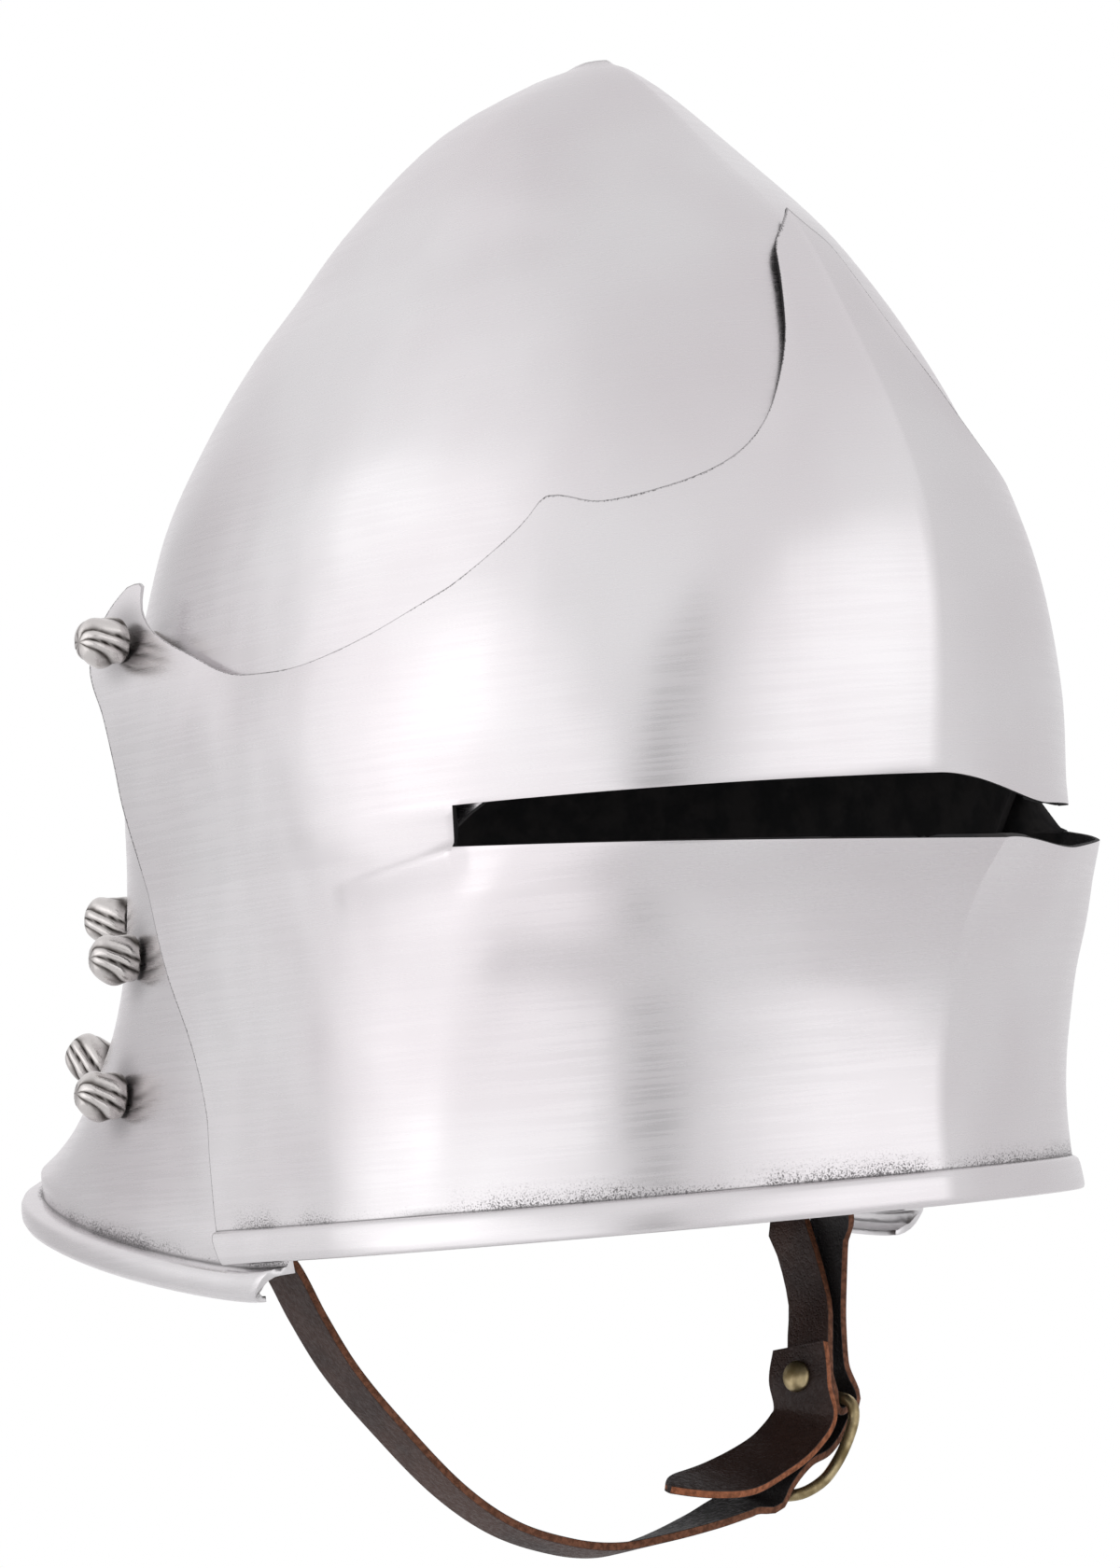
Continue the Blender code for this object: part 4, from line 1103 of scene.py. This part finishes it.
def short_strap_points():
    """Down to the buckle and closely round its bar."""
    ring = 1.06 * (BUCKLE_WIRE + FIT_GAP + 0.5 * STRAP_THICK)
    fold = []
    for degrees in range(42, 193, 15):
        turn = math.radians(degrees)
        fold.append(on_strap(ring * math.sin(turn), -ring * math.cos(turn)))
    return smooth_path(strap_points(SHORT_ROWS) + fold[:1], 18) + fold[1:]


def flap_points():
    """Behind the short strap's lower end, then on to the flap's tip."""
    behind = Vector((STRAP_THICK + 2.5 * FIT_GAP, 0.0, 0.0, 0.0))
    top = [point - behind for point in strap_points(SHORT_ROWS)[-2:]]
    return top + strap_points(FLAP_ROWS)

FLAP_WIDTH = 0.0202
FLAP_OUTLINE_COLUMNS = ("along", "half")
FLAP_OUTLINE_ROWS = (
    (0.00, 0.96),
    (0.30, 1.00),
    (0.55, 0.92),
    (0.75, 0.95),
    (0.88, 0.78),
    (0.95, 0.50),
    (1.00, 0.14),
)
half = 0.5 * STRAP_WIDTH
path = smooth_path(long_strap_points(), 220)
TIP_SHAPE = (0.98, 0.94, 0.86, 0.74, 0.58, 0.40, 0.15)
halves = [half] * (len(path) - len(TIP_SHAPE)) + [share * half for share in TIP_SHAPE]
long_strap = make_band("strap_long", "chin_strap_long", path, halves)
path = short_strap_points()
short_strap = make_band("strap_short", "chin_strap_short", path, [half] * len(path))
flap_steps = 60
path = smooth_path(flap_points(), flap_steps)
outline = column(FLAP_OUTLINE_ROWS, FLAP_OUTLINE_COLUMNS, "along", "half")
widths = [0.5 * FLAP_WIDTH * smooth_value(outline, i / flap_steps) for i in range(flap_steps + 1)]
flap = make_band("flap", "buckle_flap", path, widths)
flap_path = path

# %% [markdown]
# ## Buckle, prong and rivets
# The buckle is brass wire bent to a D, and its prong a thinner wire curled round the bar. Both are
# tubes along a path. The rivets are turned pieces with a low domed head.

# %% The buckle
def tube(path, radii, sides, looped=False):
    bucket = []
    side = buckle_axes()[2]
    for point, way, radius in zip(path, directions(path, looped), radii):
        first = side - way * way.dot(side)
        if first.length < 0.2:
            first = buckle_axes()[1] - way * way.dot(buckle_axes()[1])
        first.normalize()
        second = way.cross(first)
        bucket.append([point + radius * (math.cos(2 * math.pi * i / sides) * first
                                         + math.sin(2 * math.pi * i / sides) * second) for i in range(sides)])
    if looped:
        bucket.append(bucket[0])
    bm = wrap_grid(bucket)
    close_body(bm)
    return bm


outline = [(0.0, 0.0), (0.0, 0.73), (0.04, 0.92), (0.16, 1.0), (0.40, 1.0), (0.64, 1.0)]
outline += [(0.78, 0.94), (0.92, 0.72), (0.99, 0.36), (1.0, 0.0)]
outline += [(run, -across) for run, across in reversed(outline[1:-1])]
wire_half = 0.5 * BUCKLE_WIDTH - BUCKLE_WIRE
corners = []
for run, across in outline + outline[:1]:
    bulge = BUCKLE_BULGE * math.sin(math.pi * run ** 0.8)
    corners.append(Vector((*beside_bar(run * BUCKLE_LENGTH, bulge, across * wire_half), 0.0)))
path = [point.to_3d() for point in smooth_path(corners, 96)][:-1]
buckle = add_piece(tube(path, [BUCKLE_WIRE] * len(path), 16, looped=True), "buckle", "skull",
                   ["buckle_frame"])
ring = BUCKLE_WIRE + FIT_GAP + PRONG_WIRE
path = []
for degrees in range(-70, 91, 10):
    angle = math.radians(degrees)
    path.append(beside_bar(-ring * math.cos(angle), ring * math.sin(angle)))
for run in (0.25, 0.50, 0.75, 0.96, 1.0, 1.04, 1.06):
    path.append(beside_bar(run * BUCKLE_LENGTH, ring))
radii = [PRONG_WIRE] * (len(path) - 2) + [0.92 * PRONG_WIRE, 0.6 * PRONG_WIRE]
prong = add_piece(tube(path, radii, 14), "prong", "skull", ["buckle_prong"])

# %% [markdown]
# ## Small rivets
# One domed brass rivet holds the flap, and a flat one holds each strap inside the skull. They are
# turned outlines, because a lathe or a die makes the real ones.

# %% Rivets
FLAP_RIVET_HEAD = 0.0043
FLAP_RIVET_PIN = 0.0013
FLAP_RIVET_DROP = 0.523
STRAP_RIVET_HEIGHT = 0.024
STRAP_RIVET_HEAD = 0.0036


def turned(profile, place, way, sides=48):
    turn = way.to_track_quat("Z", "Y").to_matrix()
    rings = []
    for height, radius in profile:
        rings.append([place + turn @ Vector((radius * math.cos(2 * math.pi * i / sides),
                                             radius * math.sin(2 * math.pi * i / sides), height))
                      for i in range(sides)])
    bm = wrap_grid(rings)
    close_body(bm)
    return bm


flap_z = RIM_Z - FLAP_RIVET_DROP * STRAP_DROP
index = min(range(flap_steps), key=lambda i: abs(flap_path[i].z - flap_z))
inward = band_axes(flap_path[index], directions(flap_path)[index])[1]
inward *= math.copysign(1.0, -inward.x)
place = flap_path[index].to_3d() + inward * 0.5 * STRAP_THICK
head, pin = FLAP_RIVET_HEAD, FLAP_RIVET_PIN
back = -2 * STRAP_THICK - 4 * FIT_GAP
# The rivet's domed head: height and radius as shares of its named radius
DOME = (
    (0.00, 0.94),
    (0.06, 1.00),
    (0.16, 1.00),
    (0.27, 0.94),
    (0.38, 0.80),
    (0.48, 0.58),
    (0.55, 0.32),
    (0.58, 0.05),
)
profile = [(back - 0.4 * pin, 0.2 * pin), (back - 0.4 * pin, 1.3 * pin), (back, 1.4 * pin)]
profile += [(back, pin), (0.0, pin)]
profile += [(height * head, radius * head) for height, radius in DOME]
flap_rivet = add_piece(turned(profile, place, inward), "flap_rivet_head", "skull", ["flap_rivet"])
strap_rivets = []
for side, word in ((-1.0, "right"), (1.0, "left")):
    low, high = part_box("strap_rivet_" + word)
    outer, inner = max(abs(low.x), abs(high.x)), min(abs(low.x), abs(high.x))
    place = Vector((side * outer, STRAP_BACK, RIM_Z + STRAP_RIVET_HEIGHT))
    reach = outer - inner
    profile = [(-reach, 0.05 * STRAP_RIVET_HEAD), (-reach + 0.0003, 0.5 * STRAP_RIVET_HEAD),
               (-reach + 0.0008, 0.9 * STRAP_RIVET_HEAD), (-reach + 0.0016, STRAP_RIVET_HEAD),
               (-reach + 0.0016, 0.5 * STRAP_RIVET_HEAD), (0.0, 0.5 * STRAP_RIVET_HEAD)]
    name = "strap_rivet_head_" + word
    strap_rivets.append(add_piece(turned(profile, place, Vector((side, 0.0, 0.0))), name, "skull",
                                  ["strap_rivet_" + word]))

# %% [markdown]
# ## Materials
# Every surface here is plain metal or hide, so its interest is in slow changes: cloudy polish, fine
# rubbing lines, soot and a painted shadow line in the creases, brown over black leather. Effects that
# several materials share are node groups with named inputs; the shader itself stays in each material.

# %% Node helpers
def mix_colour(tree, share, a, b):
    made = tree.nodes.new("ShaderNodeMix")
    made.data_type = "RGBA"
    tree.links.new(share, made.inputs["Factor"])
    for socket, value in ((made.inputs[6], a), (made.inputs[7], b)):
        if isinstance(value, tuple):
            socket.default_value = (*value, 1.0)
        else:
            tree.links.new(value, socket)
    return made.outputs[2]


def reshape(tree, value, low, high, to_low=0.0, to_high=1.0, smooth=True):
    """A value taken from one range to another, held at its ends."""
    made = tree.nodes.new("ShaderNodeMapRange")
    made.interpolation_type = "SMOOTHSTEP" if smooth else "LINEAR"
    tree.links.new(value, made.inputs["Value"])
    for name, number in (("From Min", low), ("From Max", high), ("To Min", to_low), ("To Max", to_high)):
        made.inputs[name].default_value = number
    return made.outputs["Result"]


def calculate(tree, operation, a, b=0.0):
    made = tree.nodes.new("ShaderNodeMath")
    made.operation = operation
    for socket, value in ((made.inputs[0], a), (made.inputs[1], b)):
        if isinstance(value, (int, float)):
            socket.default_value = value
        else:
            tree.links.new(value, socket)
    return made.outputs[0]


def noise(tree, vector, scale, detail=2.0, stretch=(1.0, 1.0, 1.0)):
    mapping = tree.nodes.new("ShaderNodeMapping")
    mapping.inputs["Scale"].default_value = stretch
    tree.links.new(vector, mapping.inputs["Vector"])
    made = tree.nodes.new("ShaderNodeTexNoise")
    made.inputs["Scale"].default_value = scale
    made.inputs["Detail"].default_value = detail
    tree.links.new(mapping.outputs["Vector"], made.inputs["Vector"])
    return made.outputs["Fac"]


def new_group(name, inputs, outputs):
    """An empty node group. Inputs are (name, type, value), outputs (name, type)."""
    group = bpy.data.node_groups.new(name, "ShaderNodeTree")
    for label, kind, value in inputs:
        socket = group.interface.new_socket(label, in_out="INPUT", socket_type=kind)
        if value is not None:
            socket.default_value = value
    for label, kind in outputs:
        group.interface.new_socket(label, in_out="OUTPUT", socket_type=kind)
    return group, group.nodes.new("NodeGroupInput"), group.nodes.new("NodeGroupOutput")


def use_group(tree, group, vector=None, **values):
    made = tree.nodes.new("ShaderNodeGroup")
    made.node_tree = group
    if vector is not None:
        tree.links.new(vector, made.inputs["Vector"])
    for key, value in values.items():
        socket = made.inputs[key.replace("_", " ").title()]
        if isinstance(value, (int, float)):
            socket.default_value = value
        else:
            tree.links.new(value, socket)
    return made


def new_material(name):
    material = bpy.data.materials.new(name)
    material.use_nodes = True
    tree = material.node_tree
    shader = tree.nodes["Principled BSDF"]
    place = tree.nodes.new("ShaderNodeTexCoord").outputs["Object"]
    return material, tree, shader, place


def read_mark(tree, name):
    """A number that was kept at the mesh's points."""
    made = tree.nodes.new("ShaderNodeAttribute")
    made.attribute_name = name
    return made.outputs["Fac"]


def bump(tree, shader, height, distance):
    made = tree.nodes.new("ShaderNodeBump")
    made.inputs["Distance"].default_value = distance
    made.inputs["Strength"].default_value = 1.0
    tree.links.new(height, made.inputs["Height"])
    tree.links.new(made.outputs["Normal"], shader.inputs["Normal"])


print("node helpers are ready")

# %% [markdown]
# ## Shared effects
# Polish gives slow clouds and fine rubbing lines. Soot gathers in specks where a mark says a crease is
# near, and where the mark is strongest, in the crease itself and along the visor's cut edges, a painted
# shadow line darkens the steel.

# %% Polish, soot and painted shade groups
polish, start, end = new_group(
    "polish",
    [("Vector", "NodeSocketVector", None), ("Cloud Size", "NodeSocketFloat", 14.0)],
    [("Cloud", "NodeSocketFloat"), ("Lines", "NodeSocketFloat"), ("Height", "NodeSocketFloat")])
cloud = noise(polish, start.outputs["Vector"], 14.0, 3.0)
polish.links.new(start.outputs["Cloud Size"], cloud.node.inputs["Scale"])
lines = noise(polish, start.outputs["Vector"], 90.0, 3.0, (0.30, 0.30, 12.0))
dimples = noise(polish, start.outputs["Vector"], 42.0, 1.0)
polish.links.new(reshape(polish, cloud, 0.30, 0.70), end.inputs["Cloud"])
polish.links.new(reshape(polish, lines, 0.35, 0.65), end.inputs["Lines"])
waves = calculate(polish, "ADD", calculate(polish, "MULTIPLY", cloud, 2.2), dimples)
fine = calculate(polish, "MULTIPLY", lines, 0.0022)
polish.links.new(calculate(polish, "ADD", waves, fine), end.inputs["Height"])

soot_and_shade, start, end = new_group(
    "soot_and_shade",
    [("Vector", "NodeSocketVector", None), ("Near", "NodeSocketFloat", 0.0),
     ("Speck Size", "NodeSocketFloat", 2400.0)],
    [("Mask", "NodeSocketFloat")])
speck = noise(soot_and_shade, start.outputs["Vector"], 2400.0, 3.0)
soot_and_shade.links.new(start.outputs["Speck Size"], speck.node.inputs["Scale"])
patch = noise(soot_and_shade, start.outputs["Vector"], 38.0, 2.0)
near = calculate(soot_and_shade, "MULTIPLY", start.outputs["Near"], reshape(soot_and_shade, patch, 0.34, 0.62, 0.25, 1.0))
lifted = calculate(soot_and_shade, "ADD", speck, calculate(soot_and_shade, "MULTIPLY", near, 0.26))
dots = calculate(soot_and_shade, "MULTIPLY", reshape(soot_and_shade, lifted, 0.54, 0.80), 0.80)
spread = calculate(soot_and_shade, "MULTIPLY", dots, reshape(soot_and_shade, near, 0.02, 0.40))
# Painted shade: a dark line where the mark is strongest, in a crease or along a cut edge.
line = calculate(soot_and_shade, "MULTIPLY", reshape(soot_and_shade, start.outputs["Near"], 0.80, 1.05), 0.80)
soot_and_shade.links.new(calculate(soot_and_shade, "MAXIMUM", spread, line), end.inputs["Mask"])
print("node groups", polish.name, soot_and_shade.name)

# %% [markdown]
# ## Satin steel and its inside painted dark as shade
# The outside is polished by hand, so its colour and roughness wander a little. Round each bulb the
# plate is darkened by a painted shadow and reflection of the bulb. The inside and the cut edges are
# painted near black as shade, except near the lower rims and the ears' upper edge, where they stay bare
# steel.

# %% Steel
# Painted shade: round the foot of each bulb the plate is darkened, as a painted shadow and reflection of the
# bulb.
BULB_SHADE_REACH = 0.0105
BULB_SHADE = (0.16, 0.15, 0.15)
STEEL_LOW = (0.705, 0.675, 0.688)
STEEL_HIGH = (0.775, 0.765, 0.771)
SOOT_AND_SHADE = (0.035, 0.032, 0.033)


def mark_bulb_shade(piece, feet, reach):
    """Keeps how near each point of a plate lies to the foot of a bulb."""
    marks = piece.data.attributes.new("bulb_shade", "FLOAT", "POINT")
    for vertex, mark in zip(piece.data.vertices, marks.data):
        gap = min((vertex.co - foot).length for foot in feet)
        mark.value = math.exp(-(gap / reach) ** 4)


for plate in (skull_plate, visor_plate):
    mark_bulb_shade(plate, bulb_feet, BULB_SHADE_REACH)


def make_steel(name, low, high, rough_low, rough_high, wave):
    material, tree, shader, place = new_material(name)
    marks = use_group(tree, polish, place, cloud_size=11.0)
    soot_shade = use_group(tree, soot_and_shade, place, near=read_mark(tree, "crease"))
    colour = mix_colour(tree, marks.outputs["Cloud"], low, high)
    streaked = calculate(tree, "MULTIPLY", marks.outputs["Lines"], 0.10)
    colour = mix_colour(tree, streaked, colour, low)
    # Soot specks near the creases, and a painted shadow line in them and along the cut edges.
    colour = mix_colour(tree, soot_shade.outputs["Mask"], colour, SOOT_AND_SHADE)
    # Painted shadow and reflection of the bulb round its foot.
    bulb_shade = calculate(tree, "MULTIPLY", read_mark(tree, "bulb_shade"), 0.62)
    colour = mix_colour(tree, bulb_shade, colour, BULB_SHADE)
    tree.links.new(colour, shader.inputs["Base Color"])
    rough = reshape(tree, marks.outputs["Lines"], 0.0, 1.0, rough_low, rough_high)
    rough = calculate(tree, "ADD", rough, calculate(tree, "MULTIPLY", soot_shade.outputs["Mask"], 0.35))
    tree.links.new(rough, shader.inputs["Roughness"])
    shader.inputs["Metallic"].default_value = 1.0
    bump(tree, shader, marks.outputs["Height"], wave)
    return material


satin_steel = make_steel("satin_steel_finish", STEEL_LOW, STEEL_HIGH, 0.25, 0.30, 0.00026)

# Painted shade: the inside is near black, standing for the shade inside the helmet, and a mark leaves bare
# steel near some edges instead.
inside_shade, tree, shader, place = new_material("inside_painted_shade")
shade_spots = reshape(tree, noise(tree, place, 120.0, 4.0), 0.35, 0.65)
unshaded_inside = reshape(tree, read_mark(tree, "unshaded_inside"), 0.35, 0.75)
colour = mix_colour(tree, shade_spots, (0.010, 0.010, 0.011), (0.024, 0.022, 0.022))
tree.links.new(mix_colour(tree, unshaded_inside, colour, STEEL_HIGH), shader.inputs["Base Color"])
rough = calculate(tree, "SUBTRACT", 0.75, calculate(tree, "MULTIPLY", unshaded_inside, 0.42))
tree.links.new(rough, shader.inputs["Roughness"])
tree.links.new(unshaded_inside, shader.inputs["Metallic"])
shader.inputs["Specular IOR Level"].default_value = 0.25
bump(tree, shader, shade_spots, 0.0001)
for plate in (skull_plate, visor_plate):
    plate.data.materials.append(satin_steel)
    plate.data.materials.append(inside_shade)


print("materials", satin_steel.name, inside_shade.name)

# %% [markdown]
# ## Antiqued bulbs
# The bulbs were darkened and then rubbed, so the ridges shine and the flutes stay dark. The number
# kept at each point says how deep in a flute it lies, and a noise breaks the border up.

# %% Antiqued bulbs
dark_steel, tree, shader, place = new_material("antiqued_bulbs")
groove = read_mark(tree, "groove")
stain = noise(tree, place, 330.0, 4.0)
depth = calculate(tree, "ADD", groove, calculate(tree, "MULTIPLY", stain, 0.5))
mask = reshape(tree, depth, 0.30, 1.20)
BULB_BRIGHT = (0.70, 0.675, 0.655)
BULB_DARK = (0.085, 0.074, 0.066)
tree.links.new(mix_colour(tree, mask, BULB_BRIGHT, BULB_DARK), shader.inputs["Base Color"])
tree.links.new(reshape(tree, mask, 0.0, 1.0, 0.26, 0.55), shader.inputs["Roughness"])
shader.inputs["Metallic"].default_value = 1.0
bump(tree, shader, stain, 0.0002)
for bulb in bulbs:
    bulb.data.materials.append(dark_steel)


print("material", dark_steel.name, "on", len(bulbs), "bulbs")

# %% [markdown]
# ## Leather
# Waxed hide is dark and smooth on its face, nearly black on its back and tan where it is cut. The two
# marks kept on each band choose between the three, and small pores give the face its grain.

# %% Leather
def make_leather(name, face_low, face_high, flesh, cut):
    material, tree, shader, place = new_material(name)
    blotch = reshape(tree, noise(tree, place, 45.0, 3.0), 0.32, 0.68)
    pores = tree.nodes.new("ShaderNodeTexVoronoi")
    pores.inputs["Scale"].default_value = 1300.0
    tree.links.new(place, pores.inputs["Vector"])
    pore = reshape(tree, pores.outputs["Distance"], 0.0, 0.6)
    colour = mix_colour(tree, blotch, face_low, face_high)
    colour = mix_colour(tree, read_mark(tree, "flesh_side"), colour, flesh)
    fibre = reshape(tree, noise(tree, place, 700.0, 4.0), 0.30, 0.70)
    paler = mix_colour(tree, fibre, cut, tuple(0.45 * c for c in cut))
    edge = reshape(tree, read_mark(tree, "cut_edge"), 0.30, 0.75)
    colour = mix_colour(tree, edge, colour, paler)
    tree.links.new(colour, shader.inputs["Base Color"])
    rough = reshape(tree, fibre, 0.0, 1.0, 0.48, 0.66)
    rough = calculate(tree, "ADD", rough, calculate(tree, "MULTIPLY", edge, 0.2))
    tree.links.new(rough, shader.inputs["Roughness"])
    shader.inputs["Specular IOR Level"].default_value = 0.35
    height = calculate(tree, "ADD", pore, calculate(tree, "MULTIPLY", fibre, 0.8))
    bump(tree, shader, height, 0.00012)
    return material


strap_leather = make_leather("dark_brown_leather", (0.030, 0.016, 0.013), (0.062, 0.032, 0.024),
                             (0.012, 0.010, 0.010), (0.20, 0.075, 0.035))
flap_leather = make_leather("flap_leather", (0.020, 0.011, 0.009), (0.040, 0.020, 0.015),
                            (0.022, 0.012, 0.010), (0.38, 0.13, 0.055))
for strap in (long_strap, short_strap):
    strap.data.materials.append(strap_leather)
flap.data.materials.append(flap_leather)
print("materials", strap_leather.name, flap_leather.name)

# %% [markdown]
# ## Aged brass
# Old brass keeps its yellow only where it is rubbed. A noise at the scale of a fingertip mixes the
# bright and the dull colour and roughens the dull one.

# %% Aged brass
brass, tree, shader, place = new_material("old_brass")
tarnish = reshape(tree, noise(tree, place, 170.0, 4.0), 0.35, 0.70)
BRASS_BRIGHT = (0.50, 0.41, 0.24)
BRASS_DARK = (0.20, 0.15, 0.07)
tree.links.new(mix_colour(tree, tarnish, BRASS_BRIGHT, BRASS_DARK), shader.inputs["Base Color"])
tree.links.new(reshape(tree, tarnish, 0.0, 1.0, 0.32, 0.55), shader.inputs["Roughness"])
shader.inputs["Metallic"].default_value = 1.0
bump(tree, shader, tarnish, 0.00005)
for piece in (buckle, prong, flap_rivet, *strap_rivets):
    piece.data.materials.append(brass)


print("material", brass.name)

# %% [markdown]
# ## Floor and light
# A metal shows what surrounds it, so the studio matters as much as the steel. The surroundings are
# white and soft, with a darker upright patch beside the camera, which the curved visor
# mirrors as a dark vertical band. A pale floor lies below, outside the picture.

# %% Plain rendering of white
scene.view_settings.view_transform = "Standard"
print("view transform", scene.view_settings.view_transform)

# %% [markdown]
# ## A pale floor
# The floor is a plain disc below the strap, outside the picture. It sends some light up under the
# visor, as a white table would.

# %% Floor
bm = bmesh.new()
bmesh.ops.create_circle(bm, cap_ends=True, segments=96, radius=0.9,
                        matrix=Matrix.Translation((0.0, 0.05, -0.56)))
mesh = bpy.data.meshes.new("floor")
bm.to_mesh(mesh)
bm.free()
floor = bpy.data.objects.new("floor", mesh)
scene.collection.objects.link(floor)
floor_paint, tree, shader, place = new_material("pale_floor")
shader.inputs["Base Color"].default_value = (0.86, 0.86, 0.86, 1.0)
shader.inputs["Roughness"].default_value = 0.9
mesh.materials.append(floor_paint)
print("floor of", len(mesh.polygons), "face")

# %% [markdown]
# ## What the steel mirrors
# Polished steel is seen by its reflections. Soft patches on the world's sphere, each with a direction
# and a change of brightness, are quicker to aim and quieter to render than many lamps.

# %% Surroundings
world = bpy.data.worlds.new("studio")
world.use_nodes = True
scene.world = world
tree = world.node_tree
tree.nodes.clear()
look = tree.nodes.new("ShaderNodeTexCoord").outputs["Generated"]


def patch_of(direction, inner_deg, outer_deg, stretch=(1.0, 1.0, 1.0)):
    """1 within a cone round a direction, falling smoothly to 0; stretch flattens directions first."""
    scaled = tree.nodes.new("ShaderNodeVectorMath")
    scaled.operation = "MULTIPLY"
    scaled.inputs[1].default_value = stretch
    tree.links.new(look, scaled.inputs[0])
    unit = tree.nodes.new("ShaderNodeVectorMath")
    unit.operation = "NORMALIZE"
    tree.links.new(scaled.outputs["Vector"], unit.inputs[0])
    dot = tree.nodes.new("ShaderNodeVectorMath")
    dot.operation = "DOT_PRODUCT"
    tree.links.new(unit.outputs["Vector"], dot.inputs[0])
    aim = Vector([a * b for a, b in zip(direction, stretch)]).normalized()
    dot.inputs[1].default_value = aim
    outer, inner = (math.cos(math.radians(angle)) for angle in (outer_deg, inner_deg))
    return reshape(tree, dot.outputs["Value"], outer, inner)


# compass angle from straight ahead of the wearer (their right is minus), height angle, inner and
# outer angle of the patch, upright stretch, change of brightness
PATCHES = (
    ("tall_panel_behind_right", -116.0, 24.0, 8.0, 44.0, 1.2, 0.18),
    ("front_panel", 8.0, -6.0, 12.0, 38.0, 1.0, 0.36),
    ("dark_upright", -44.0, -12.0, 1.0, 11.0, 0.30, -0.50),
    ("dark_wall_left", 92.0, 0.0, 20.0, 46.0, 0.8, -0.14),
    ("pale_wall_right", -92.0, -14.0, 26.0, 46.0, 1.0, 0.32),
    ("wall_behind", -170.0, 0.0, 6.0, 32.0, 0.8, -0.26),
    ("ceiling", 0.0, 90.0, 15.0, 52.0, 1.0, -0.08),
)
brightness = 0.91
for patch_name, compass, height, inner, outer, upright, change in PATCHES:
    flat = math.cos(math.radians(height))
    direction = (flat * math.sin(math.radians(compass)), -flat * math.cos(math.radians(compass)),
                 math.sin(math.radians(height)))
    share = calculate(tree, "MULTIPLY", patch_of(direction, inner, outer, (1.0, 1.0, upright)), change)
    brightness = calculate(tree, "ADD", share, brightness)
    print("patch", patch_name, "changes the brightness by", change)
surround = tree.nodes.new("ShaderNodeBackground")
surround.inputs["Color"].default_value = (1.0, 0.985, 1.0, 1.0)
tree.links.new(brightness, surround.inputs["Strength"])
backdrop = tree.nodes.new("ShaderNodeBackground")
backdrop.inputs["Color"].default_value = (1.0, 1.0, 1.0, 1.0)
backdrop.inputs["Strength"].default_value = 1.0
ray = tree.nodes.new("ShaderNodeLightPath")
choose = tree.nodes.new("ShaderNodeMixShader")
tree.links.new(ray.outputs["Is Camera Ray"], choose.inputs["Fac"])
tree.links.new(surround.outputs["Background"], choose.inputs[1])
tree.links.new(backdrop.outputs["Background"], choose.inputs[2])
ending = tree.nodes.new("ShaderNodeOutputWorld")
tree.links.new(choose.outputs["Shader"], ending.inputs["Surface"])

# %% [markdown]
# ## One soft lamp
# A large panel high behind the wearer's right adds the broad sheen on the skull. More lamps would
# only add highlights that the photograph doesn't have.

# %% Lamps
def add_panel(name, place, aim, size, power):
    lamp = bpy.data.lights.new(name, "AREA")
    lamp.shape = "RECTANGLE"
    lamp.size, lamp.size_y = size
    lamp.energy = power
    item = bpy.data.objects.new(name, lamp)
    scene.collection.objects.link(item)
    turn = (Vector(place) - Vector(aim)).to_track_quat("Z", "Y").to_matrix().to_4x4()
    item.matrix_world = Matrix.Translation(place) @ turn
    print(name, "shines at", power, "watts")


AIM = (0.0, 0.02, -0.12)
add_panel("key_panel", (-2.3, 1.2, 0.7), AIM, (2.4, 2.0), 3.0)
